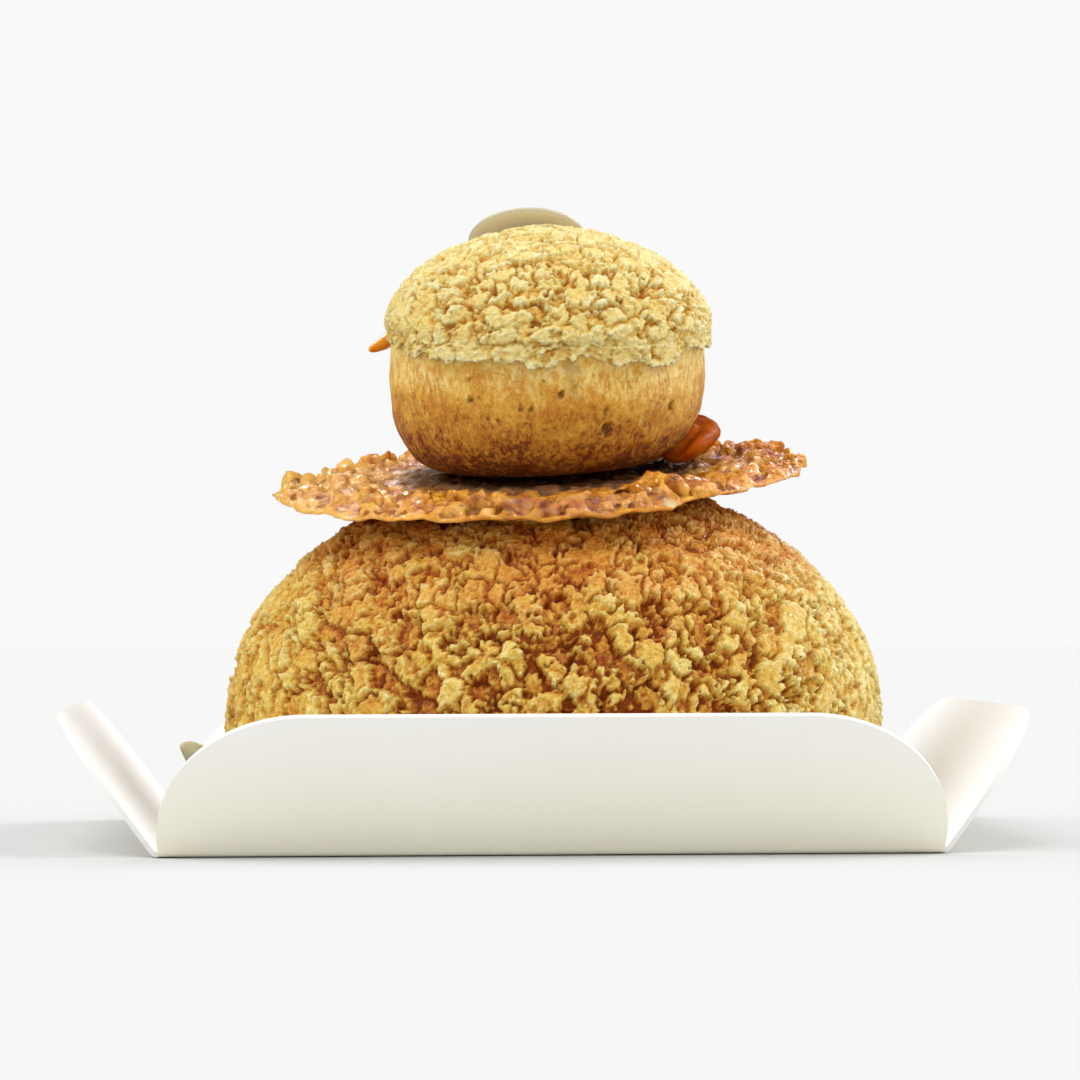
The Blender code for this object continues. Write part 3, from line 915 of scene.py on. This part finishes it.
def crisp_sheet():
    """A thin sheet of caramel, flat underneath and thinner towards its edge."""
    count = 520
    turn = np.arange(count) * 2 * pi / count - pi
    share = np.concatenate([np.linspace(0.1, 0.94, 40), [0.965, 0.985, 1.0]])
    shape = (len(share), count)
    radii = share[:, None] * crisp_edge(turn)
    flat = round_points(radii, turn, np.zeros(shape))
    bend = crisp_warp(flat) + 0.5 * np.repeat(smooth(0.8, 1.0, share), count) * wander(flat, 2.6, 84)
    thin = (1 - 0.6 * smooth(0.82, 0.97, share)) * np.sqrt(np.clip(1.02 - share, 0, 0.04) / 0.04)
    thin = np.repeat(thin, count)
    low = -CRISP_HALF * thin + bend + 0.08 * wander(flat, 0.9, 81) * thin
    knobs = 0.25 * wander(flat, 2.2, 82) + 0.15 * wander(flat, 0.9, 83)
    high = CRISP_HALF * thin + bend + knobs * thin
    levels = np.vstack([low.reshape(shape), high.reshape(shape)[::-1]])
    points, faces = polar_solid(np.vstack([radii, radii[::-1]]), levels)
    points[:, :2] *= -1  # the outline above starts at the left, and a polar solid at the right
    return points, faces


def nut_spots(rng):
    """Places and sizes of chopped nuts that hardly overlap, with the big ones put down first."""
    tries = 5200
    spots = rng.uniform(-CRISP_RADIUS, CRISP_RADIUS, (tries, 3)) * FLATTEN
    size = 0.55 + 1.6 * rng.uniform(size=tries) ** 2.0
    edge = crisp_edge(np.arctan2(spots[:, 1], spots[:, 0]))
    inside = np.hypot(spots[:, 0], spots[:, 1]) + 0.75 * size < edge
    spots, size = spots[inside], size[inside]
    order = np.append(np.argsort(-size[:400]), np.arange(400, len(size)))
    spots, size = spots[order], size[order]
    chosen = []
    for k in range(len(spots)):
        gaps = np.hypot(*(spots[chosen, :2] - spots[k, :2]).T)
        if (gaps > 0.7 * (size[chosen] + size[k])).all():
            chosen.append(k)
    return spots[chosen], size[chosen]


def chopped_nuts(rng):
    """Nuts under the caramel, pressed down where the small bun sits: their places, sizes and shapes."""
    spots, size = nut_spots(rng)
    room = smooth(20.0, 23.0, np.hypot(*(spots[:, :2] - SEAT).T))
    reach = np.hypot(spots[:, 0], spots[:, 1]) / CRISP_RADIUS
    spots[:, 2] = crisp_warp(spots) + CRISP_HALF * (1 - 0.6 * smooth(0.82, 0.97, reach)) - 0.2 * (1 - room)
    spots[:, 2] += size * 0.1 * rng.uniform(-1, 1, len(size))
    points, faces = blobs(spots, size, rng, CRUMB, 0.4, 0.5)
    owner = np.repeat(np.arange(len(spots)), len(CRUMB[0]))
    base = spots[owner, 2]
    squash = ((0.4 + 0.75 * room) * np.minimum(1.0, 1.5 / size))[owner]
    squash *= np.where(points[:, 2] > base, 1.0, 0.5)
    points[:, 2] = base + (points[:, 2] - base) * squash
    return spots, size, (points, faces)


def hung_sugar(rng):
    """Grains of sugar that hang where the sheet is chipped: their middle and their shapes."""
    reach, turn = 27.4, radians(-65)
    middle = np.array([reach * cos(turn), reach * sin(turn), 0.0])
    spots = middle + rng.normal(0, 1, (12, 3)) * np.array([0.5, 0.25, 0.16])
    return middle, blobs(spots, rng.uniform(0.2, 0.36, 12), rng, BALL, 0.15)


def crisp():
    """The crisp: a sheet of caramel, nuts and sugar run together, with folds and dents on top."""
    rng = np.random.default_rng(37)
    nuts, size, nut_shapes = chopped_nuts(rng)
    sugar, grains = hung_sugar(rng)
    mesh = fuse("caramel_nut_crisp_sheet", [crisp_sheet(), nut_shapes, grains], 0.24, 1, 112000)
    points = points_of(mesh)
    ridge = 0.3 - np.abs(wander(points, 1.8, 85))
    folds = 0.8 * ridge + 0.25 * (lumps(points, 0.8, 86) - 0.6)
    folds *= smooth(0.1, 0.5, points[:, 2] - crisp_warp(points))
    points += normals_of(mesh) * folds[:, None]
    set_points(mesh, points)
    distance, which = nearest(points, nuts)
    attribute(mesh, "nut", smooth(1.15, 0.5, distance / size[which]) * (points[:, 2] > 0.3))
    attribute(mesh, "kind", rng.uniform(0, 1, len(nuts))[which])
    attribute(mesh, "sugar", smooth(1.1, 0.7, np.linalg.norm(points - sugar, axis=1)))
    # how hollow the crisp is, for the painted shade in its hollows
    attribute(mesh, "hollow_shade", np.clip(0.5 + hollows(mesh, 5) / 0.5, 0, 1))
    edge = crisp_edge(np.arctan2(points[:, 1], points[:, 0]))
    attribute(mesh, "rim", smooth(1.4, 0.0, edge - np.hypot(points[:, 0], points[:, 1])))
    attribute(mesh, "side", points[:, 0] / CRISP_RADIUS)
    # the patch under the small bun, which the material paints near-black as shade and makes matt
    attribute(mesh, "under", smooth(19.0, 14.0, np.hypot(*(points[:, :2] - SEAT).T)))
    attribute(mesh, "below", smooth(-0.15, -0.4, points[:, 2] - crisp_warp(points)))
    return mesh


def crisp_look():
    """Glossy amber caramel and paler nuts, with a paler rim that is partly painted glow through the thin
    caramel, painted shade in hollows and under the small bun, and matt underneath.
    """
    look, tree = material(
        "nutty_caramel",
        0.2,
        Specular_IOR_Level=0.6,
        Specular_Tint=(1.0, 0.87, 0.66, 1.0),
        **lit_through(0.2, (1.0, 0.55, 0.15), 1.0),
    )
    where = place_node(tree)
    broad = noise_node(where, 0.08, 3.0)
    patch = noise_node(where, 0.45, 4.0, 0.6)
    ripple = noise_node(where, 1.1, 3.0, 0.6, 0.3)
    grain = noise_node(where, 3.2, 3.0, 0.6)
    names = ("nut", "kind", "rim", "hollow_shade", "side", "under", "below", "sugar")
    nut, kind, rim, hollow_shade, side, under, below, sugar = (attribute_node(tree, name) for name in names)
    amber = ramp(patch, CARAMEL_COLOURS)
    colour = mix(times(nut, 0.75), amber, ramp(kind, NUT_COLOURS))
    # the thin rim paler amber: partly the thinner caramel's own colour, partly painted glow of light through
    # it
    colour = mix(times(rim, 0.35), colour, (0.84, 0.46, 0.06))
    colour = mix(span(side, -0.4, -0.95, 0.0, 0.6), colour, (0.84, 0.56, 0.14))
    # painted shade: darker in the crisp's hollows
    colour = mix(times(span(hollow_shade, 0.48, 0.75), 0.8), colour, (0.2, 0.04, 0.006))
    redder = maths("MAXIMUM", span(broad, 0.42, 0.62), span(side, 0.1, 0.8))
    colour = tinted(times(redder, 0.25), colour, (0.95, 0.6, 0.4))
    middle = span(maths("ABSOLUTE", side), 0.6, 0.25, 0.0, 0.4)
    colour = tinted(middle, colour, (0.62, 0.5, 0.5))
    # painted shade under the small bun
    colour = mix(times(under, 0.85), colour, (0.1, 0.025, 0.006))
    colour = mix(times(sugar, 0.8), colour, (0.8, 0.68, 0.36))
    matt = times(maths("MAXIMUM", under, below), 0.7)
    rough = plus(span(patch, 0.3, 0.7, 0.03, 0.12), matt)
    folds = bump(grain, 0.08, bump(ripple, 0.6))
    return to_shader(look, Base_Color=colour, Normal=folds, Roughness=rough)


# --- Caramel, chocolate, pistachio ---


def copy_of(node, levels, kind="CATMULL_CLARK"):
    """A finer copy of a CAD node's mesh, in mm."""
    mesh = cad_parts[node].data.copy()
    mesh.transform(Matrix.Scale(1 / MM, 4))
    shape = bmesh.new()
    shape.from_mesh(mesh)
    bmesh.ops.remove_doubles(shape, verts=shape.verts[:], dist=1e-4)
    bmesh.ops.join_triangles(shape, faces=shape.faces[:], angle_face_threshold=0.6, angle_shape_threshold=0.8)
    shape.to_mesh(mesh)
    shape.free()
    mesh.materials.clear()
    plan = {"levels": levels, "render_levels": levels, "subdivision_type": kind}
    return evaluated(node + "_shape", mesh, [("SUBSURF", plan)])


def swollen(mesh, name, swells):
    """The mesh with swells, each a (height, width, seed) in mm."""
    points = points_of(mesh)
    relief = sum(height * wander(points, width, seed) for height, width, seed in swells)
    set_points(mesh, points + normals_of(mesh) * relief[:, None])
    mesh.shade_smooth()
    mesh.name = name
    return mesh


def clinging(part, level, out):
    """Spots against the small bun's bare side, from part -1 at the front to 1 behind."""
    azimuth = radians(12) + radians(34) * part
    out = out + SMALL_FLAT + (SMALL_WAIST - SMALL_FLAT) * np.sqrt(1 - (1 - level / SMALL_BEND) ** 2)
    east, north = out * np.cos(azimuth), out * np.sin(azimuth)
    spots = np.stack([east, north, level + east * np.tan(ROLL)], -1)
    return np.array([SMALL @ Vector(spot) for spot in spots])


def squeezed_caramel():
    """The lump squeezed out from under the small bun, run together with what clings to its side."""
    lump = copy_of("caramel_lump", 2)
    rng = np.random.default_rng(53)
    count = 160
    part = rng.uniform(-1, 1, count)
    full = 1 - part**2
    thin = clinging(part, 0.9 + 3.0 * full * rng.uniform(0, 1, count), 0.5 * full * rng.uniform(0, 1, count))
    reach = rng.uniform(0, 1, count)
    level = (0.5 + 0.5 * full) * (2.5 + 1.2 * (1 - reach) * rng.uniform(-1, 1, count))
    thick = clinging(part, level, 1.7 * full * reach)
    edging = blobs(thin, rng.uniform(0.5, 0.8, count), rng, BALL)
    filling = blobs(thick, rng.uniform(0.6, 0.9, count), rng, BALL)
    mesh = fuse("caramel_squeeze", [(points_of(lump), triangles_of(lump)), edging, filling], 0.22, 24, 30000)
    return swollen(mesh, "caramel_squeeze", [(0.12, 1.6, 93)])


def caramel_look(name, dark, light, roughness, shine):
    """Smooth caramel, between two colours."""
    look, tree = material(
        name,
        roughness,
        Specular_IOR_Level=shine,
        Specular_Tint=(1.0, 0.6, 0.25, 1.0),
        **lit_through(0.3, (1.0, 0.4, 0.1), 1.2),
    )
    where = place_node(tree)
    colour = ramp(noise_node(where, 0.3, 3.0), [(0.35, dark), (0.65, light)])
    return to_shader(look, Base_Color=colour, Normal=bump(noise_node(where, 2.0, 2.0), 0.05))


def chocolate():
    """A moulded disc with a softly rounded edge, and its own frame."""
    points = points_of(copy_of("chocolate_disc", 1))
    middle = (points.max(0) + points.min(0)) / 2
    _, _, axes = np.linalg.svd(points - points.mean(0), full_matrices=False)
    normal = Vector(axes[2] if axes[2][2] > 0 else -axes[2])
    radius = np.sqrt((((points - middle) @ axes[:2].T) ** 2).sum(1)).max()
    half = np.abs((points - middle) @ axes[2]).max()
    turns = np.linspace(-pi / 2, pi / 2, 15)
    edge = 0.25
    inner = np.array([1.0, 2.5, 4.2, 5.3])
    radii = np.concatenate([inner, radius - edge + edge * np.cos(turns), inner[::-1]])
    rounded = (half - edge) * np.sign(turns) + edge * np.sin(turns)
    levels = np.concatenate([np.full(4, -half), rounded, np.full(4, half)])
    count = 144
    ones = np.ones(count)
    mesh = mesh_of("chocolate_disc_shape", *polar_solid(radii[:, None] * ones, levels[:, None] * ones))
    attribute(mesh, "rim", smooth(radius - 0.15, radius - 0.05, np.hypot(*points_of(mesh)[:, :2].T)))
    # the underside, which the material paints much paler against its shade
    attribute(mesh, "under", smooth(0.0, -0.2, points_of(mesh)[:, 2]))
    turn = Vector((0, 0, 1)).rotation_difference(normal).to_matrix().to_4x4()
    return mesh, Matrix.Translation(middle) @ turn


def chocolate_look():
    """Blond chocolate with painted light: its shaded underside painted much paler than its lit top, and its
    rim a little paler than the top but darker than the underside.
    """
    look, tree = material("blond_chocolate", 0.45, Specular_IOR_Level=0.2)
    where = place_node(tree)
    broad = noise_node(where, 0.25, 2.0)
    colour = ramp(broad, [(0.3, (0.37, 0.31, 0.18)), (0.7, (0.42, 0.355, 0.215))])
    # painted light: the shaded underside much paler, and the lit rim darker than it
    colour = mix(attribute_node(tree, "under"), colour, (0.8, 0.76, 0.63))
    colour = mix(attribute_node(tree, "rim"), colour, (0.46, 0.41, 0.27))
    return to_shader(look, Base_Color=colour, Normal=bump(noise_node(where, 3.0, 3.0), 0.012))


def pistachio():
    """The sliver, with a value that rises from its foot to its tip."""
    plain = copy_of("pistachio_sliver", 3, "SIMPLE")
    mesh = swollen(plain, "pistachio_sliver_shape", [(0.18, 1.1, 95), (0.07, 0.4, 96)])
    height = points_of(mesh)[:, 2]
    attribute(mesh, "level", (height - height.min()) / np.ptp(height))
    return mesh


def pistachio_look():
    """Mottled green nut, with a brown skin towards its tip."""
    look, tree = material("pistachio_nut", 0.55, Subsurface_Weight=0.1, Subsurface_Scale=0.001)
    where = place_node(tree)
    patch = noise_node(where, 0.8, 3.0)
    colour = ramp(patch, [(0.3, (0.12, 0.14, 0.08)), (0.5, (0.21, 0.23, 0.15)), (0.75, (0.31, 0.3, 0.18))])
    edge = span(attribute_node(tree, "level"), 0.75, 1.0, 0.0, 0.6)
    colour = mix(edge, colour, (0.62, 0.5, 0.22))
    return to_shader(look, Base_Color=colour, Normal=bump(noise_node(where, 3.5, 3.0), 0.06))


# --- Card tray ---


FLAP_LEAN = radians(36.6)  # from upright
FLAP_LENGTH = 17.7
FLAP_CORNER = 14.6  # radius of its two rounded corners
CREASE = 0.9  # length of card that bends
CARD = 0.5  # thickness
CARD_COLUMNS = 13
GLOW_HEIGHT = 13.0  # up to here the outside of a flap gets painted warm light, as bounced from a bright floor
OUTSIDE, INSIDE = 0, 1


def flap_section(up):
    """How far out and how high a flap's card lies at a way up it, and how much it has turned by there."""
    turn = pi / 2 - FLAP_LEAN
    bend = min(1.0, up / CREASE) * turn
    curve = CREASE / turn
    straight = max(0.0, up - CREASE)
    out = curve * sin(bend) + straight * cos(turn)
    return out, curve * (1 - cos(bend)) + straight * sin(turn), bend


def flap_width(up, half):
    """Half the flap's width at a way up it, from half the width of the tray's floor."""
    above = max(0.0, up - (FLAP_LENGTH - FLAP_CORNER))
    return half - FLAP_CORNER + sqrt(max(0.0, FLAP_CORNER**2 - above**2))


def fill(shape, grid, face):
    """Makes the faces between the rows of a grid of vertices."""
    for low, high in zip(grid, grid[1:]):
        for c in range(CARD_COLUMNS - 1):
            corners = (low[c], low[c + 1], high[c + 1], high[c])
            shape.faces.new(corners if face == INSIDE else corners[::-1])


def flap_face(shape, spin, middle, half, face):
    """One face of a flap's card, as rows of vertices up from its crease."""
    floor_glow, inner = (shape.verts.layers.float[name] for name in ("floor_glow", "inner"))
    curved = 2 + (FLAP_LENGTH - 2) * np.sin(np.linspace(0, pi / 2, 30))
    grid = []
    for up in np.append(np.linspace(0, 2.0, 12), curved[1:]):
        out, height, bend = flap_section(up)
        normal = Vector((0, sin(bend), cos(bend)))
        row = []
        for across in np.linspace(-1, 1, CARD_COLUMNS) * flap_width(up, half):
            point = Vector((across, -half - out, height)) + normal * CARD * face
            row.append(shape.verts.new(spin @ point + middle))
            row[-1][floor_glow] = (1 - face) * max(0.0, 1 - height / GLOW_HEIGHT)
            row[-1][inner] = float(face)
        grid.append(row)
    fill(shape, grid, face)
    return grid


def free_edge(grid):
    """A flap's vertices up one side, across its end and down the other side."""
    return [row[0] for row in grid] + grid[-1][1:-1] + [row[-1] for row in grid][::-1]


def tray():
    """A square of card with four D-shaped flaps, folded up round small soft creases."""
    middle, reach = box_of("card_tray")
    middle.z = 0.0
    half = reach - FLAP_LENGTH * sin(FLAP_LEAN) - 0.02
    shape = bmesh.new()
    shape.verts.layers.float.new("floor_glow")
    shape.verts.layers.float.new("inner")
    cut = shape.faces.layers.float.new("cut")
    for side in range(4):
        spin = Matrix.Rotation(pi / 2 * side, 4, "Z")
        rim, lip = (free_edge(flap_face(shape, spin, middle, half, face)) for face in (OUTSIDE, INSIDE))
        for corners in zip(rim, rim[1:], lip[1:], lip):
            shape.faces.new(corners)[cut] = 1.0
    steps = np.linspace(-half, half, CARD_COLUMNS)
    for face in (OUTSIDE, INSIDE):
        level = CARD * face
        grid = [[shape.verts.new((x + middle.x, y + middle.y, level)) for x in steps] for y in steps]
        fill(shape, grid, face)
    bmesh.ops.remove_doubles(shape, verts=shape.verts[:], dist=1e-3)
    mesh = bpy.data.meshes.new("card_tray_shape")
    shape.to_mesh(mesh)
    shape.free()
    mesh.shade_smooth()
    mesh.set_sharp_from_angle(angle=radians(40))
    return mesh


def card_look():
    """White card: painted warmer and brighter low on its outside as light bounced from the floor, cool
    inside, and greyer at its cut edges, partly the card's core and partly painted shade on the lit edge.
    """
    look, tree = material("white_card", 0.55, Specular_IOR_Level=0.3)
    where = place_node(tree)
    broad = noise_node(where, 0.05, 2.0)
    colour = mix(span(broad, 0.3, 0.7), (0.92, 0.91, 0.87), (0.9, 0.885, 0.83))
    # painted light: warm, brighter glow low on a flap's outside, as bounced from the floor
    colour = mix(times(attribute_node(tree, "floor_glow"), 0.75), colour, (0.99, 0.95, 0.74))
    colour = mix(attribute_node(tree, "inner"), colour, (0.9, 0.92, 0.93))
    # cut edges greyer: partly the card's core, partly painted shade on the lit edge
    colour = mix(attribute_node(tree, "cut"), colour, (0.66, 0.65, 0.62))
    fibre = noise_node(where, 3.0, 4.0, 0.65)
    return to_shader(look, Base_Color=colour, Normal=bump(fibre, 0.012))


# --- Stage ---


def stage():
    """A plain pale floor."""
    bpy.ops.mesh.primitive_plane_add(size=6.0)
    floor = bpy.context.object
    floor.name = "floor"
    look, _ = material("floor", 0.9, Specular_IOR_Level=0.0, Base_Color=(0.53, 0.53, 0.53, 1.0))
    floor.data.materials.append(look)
    floor.location.z = -0.0001


def lamp(name, kind, place, energy, **settings):
    """A light that shines from its place to the pastry."""
    light = bpy.data.lights.new(name, kind)
    light.energy = energy
    for key, value in settings.items():
        setattr(light, key, value)
    made = bpy.data.objects.new(name, light)
    bpy.context.scene.collection.objects.link(made)
    made.location = place
    made.rotation_euler = (Vector((0, 0, 0.03)) - Vector(place)).to_track_quat("-Z", "Y").to_euler()
    made.visible_camera = False
    return made


def studio():
    """A white backdrop for the camera, softer light from all round, and hardly any of it in reflections."""
    world = bpy.data.worlds.new("studio")
    world.use_nodes = True
    tree = world.node_tree
    shades = []
    for grey, strength in ((0.947, 1.0), (1.0, 0.75), (1.0, 0.04)):
        inputs = {"Color": (grey, grey, grey, 1), "Strength": strength}
        shades.append(add(tree, "ShaderNodeBackground", inputs).outputs[0])
    seen, felt, mirrored = shades
    ray = add(tree, "ShaderNodeLightPath").outputs
    dull = after("ShaderNodeMixShader", {0: ray["Is Glossy Ray"], 1: felt, 2: mirrored})
    both = after("ShaderNodeMixShader", {0: ray["Is Camera Ray"], 1: dull, 2: seen})
    tree.links.new(both, tree.nodes["World Output"].inputs["Surface"])
    bpy.context.scene.world = world


def lights():
    """Broad suns that light, and small boxes that only glint."""
    suns = [
        ("overhead", (-0.2, -0.5, 1.0), 1.2, 30),
        ("left", (-1.0, 0.1, 0.8), 1.4, 60),
        ("right", (1.0, 0.1, 0.8), 1.9, 60),
        ("front", (0.1, -1.0, 0.2), 0.52, 50),
    ]
    for name, place, strength, angle in suns:
        lamp(name, "SUN", place, strength, angle=radians(angle)).visible_glossy = False
    boxes = [
        (0.0, 0.05, 0.6),
        (-0.1, 0.45, 0.45),
        (0.3, 0.35, 0.35),
        (-0.4, -0.05, 0.4),
        (0.4, -0.1, 0.45),
        (0.1, -0.45, 0.4),
        (-0.35, -0.4, 0.3),
        (0.45, 0.2, 0.2),
    ]
    for index, place in enumerate(boxes):
        lamp(f"box_{index}", "AREA", place, 1.3, size=0.05).visible_diffuse = False


def camera():
    """The photograph's viewpoint, fitted to the tray's eight visible corners."""
    yaw, pitch, roll = radians(3.1585), radians(1.1651), radians(-0.1613)
    forward = Vector((sin(yaw) * cos(pitch), cos(yaw) * cos(pitch), sin(pitch)))
    right = Vector((cos(yaw), -sin(yaw), 0))
    up = right.cross(forward)
    across = right * cos(roll) + up * sin(roll)
    upright = up * cos(roll) - right * sin(roll)
    lens = bpy.data.cameras.new("camera")
    lens.sensor_width = 36
    lens.lens = 133.54
    lens.clip_start = 0.01
    made = bpy.data.objects.new("camera", lens)
    bpy.context.scene.collection.objects.link(made)
    made.matrix_world = Matrix((across, upright, -forward)).transposed().to_4x4()
    made.location = Vector((-23.03, -435.04, 23.06)) * MM
    bpy.context.scene.camera = made


# --- Pieces ---

# Colours: from cracks to tops on a crust, whose dark end is partly painted shade, from base to top on bare
# choux, and at random on the crisp
LARGE_CRUST = [
    (0.06, (0.26, 0.055, 0.004)),
    (0.28, (0.42, 0.145, 0.014)),
    (0.5, (0.55, 0.285, 0.034)),
    (0.74, (0.61, 0.415, 0.08)),
    (1.0, (0.67, 0.57, 0.23)),
]
LARGE_CHOUX = [
    (0.0, (0.2, 0.07, 0.015)),
    (0.3, (0.42, 0.18, 0.04)),
    (0.7, (0.62, 0.34, 0.1)),
    (1.0, (0.68, 0.42, 0.14)),
]
SMALL_CRUST = [
    (0.06, (0.45, 0.16, 0.014)),
    (0.28, (0.58, 0.32, 0.05)),
    (0.5, (0.655, 0.47, 0.13)),
    (0.74, (0.68, 0.565, 0.23)),
    (1.0, (0.7, 0.66, 0.4)),
]
SMALL_CHOUX = [
    (0.0, (0.17, 0.042, 0.005)),
    (0.16, (0.38, 0.125, 0.012)),
    (0.36, (0.6, 0.265, 0.025)),
    (0.66, (0.71, 0.39, 0.05)),
    (1.0, (0.84, 0.6, 0.16)),
]
CARAMEL_COLOURS = [(0.32, (0.2, 0.04, 0.002)), (0.48, (0.54, 0.19, 0.009)), (0.68, (0.84, 0.46, 0.045))]
NUT_COLOURS = [(0.0, (0.46, 0.15, 0.01)), (0.5, (0.7, 0.34, 0.03)), (1.0, (0.84, 0.54, 0.09))]


def large_bun():
    """The large bun's pieces. Its loose grains keep clear of the foot and of the crisp on its top."""
    place = Matrix.Translation(BUN_MIDDLE)
    crust = large_crust()
    points = points_of(crust)
    wanted = points[:, 2] < seat_height(points[:, 0] + BUN_MIDDLE.x, points[:, 1] + BUN_MIDDLE.y, -1.3)
    wanted = wanted * (points[:, 2] > 7.0) * (np.hypot(points[:, 0], points[:, 1]) > 13.0)
    wanted = wanted * value_of(crust, "relief") * (1 - 0.6 * calm(points))
    grains = loose_grains("large_bun_grains", crust, 6000, 0.1, 0.22, 17, wanted)
    look = crust_look("large_craquelin", LARGE_CRUST, (0.9, 0.47, 0.25), 0.5, 0.95, (0.9, 0.74, 0.42))
    for mesh in [*slices(crust, LARGE_SEGMENTS, 3), grains]:
        finish_piece(mesh.name, mesh, look, "large_choux_bun", place)
    look = choux_look("large_choux", LARGE_CHOUX, 0.8, 0.3, (0.75, 0.55, 0.28))
    finish_piece("large_bun_body", large_body(), look, "large_choux_bun", place)


def small_bun():
    """The small bun's pieces. Its loose grains lie on the crust that is above its rim."""
    crust = small_crust()
    points = points_of(crust)
    wanted = (points[:, 2] > rim_level(points) - 0.1) * value_of(crust, "relief")
    grains = loose_grains("small_bun_grains", crust, 2600, 0.08, 0.19, 31, wanted)
    look = crust_look("small_craquelin", SMALL_CRUST, (0.95, 0.95, 0.95), 2.0, 3.0, (0.94, 0.86, 0.6))
    for mesh in (crust, grains):
        finish_piece(mesh.name, mesh, look, "small_choux_bun", SMALL)
    look = choux_look("small_choux", SMALL_CHOUX, 0.84, 0.24, (0.86, 0.66, 0.26))
    finish_piece("small_bun_body", small_body(), look, "small_choux_bun", SMALL)


def trimmings():
    """The crisp, the caramel, the chocolate disc, the pistachio and the tray."""
    finish_piece("crisp_sheet", crisp(), crisp_look(), "caramel_nut_crisp", CRISP)
    drop = swollen(copy_of("caramel_run", 3), "caramel_drop", [(0.1, 2.2, 91), (0.04, 0.8, 92)])
    look = caramel_look("thin_caramel", (0.56, 0.19, 0.012), (0.74, 0.35, 0.04), 0.35, 0.12)
    finish_piece("caramel_drop", drop, look, "caramel_run")
    look = caramel_look("thick_caramel", (0.21, 0.03, 0.001), (0.38, 0.08, 0.003), 0.4, 0.01)
    finish_piece("caramel_squeeze", squeezed_caramel(), look, "caramel_lump")
    disc, disc_place = chocolate()
    finish_piece("disc", disc, chocolate_look(), "chocolate_disc", disc_place)
    finish_piece("sliver", pistachio(), pistachio_look(), "pistachio_sliver")
    finish_piece("tray", tray(), card_look(), "card_tray")


large_bun()
small_bun()
trimmings()
stage()
studio()
lights()
camera()
bpy.context.scene.view_settings.view_transform = "Standard"
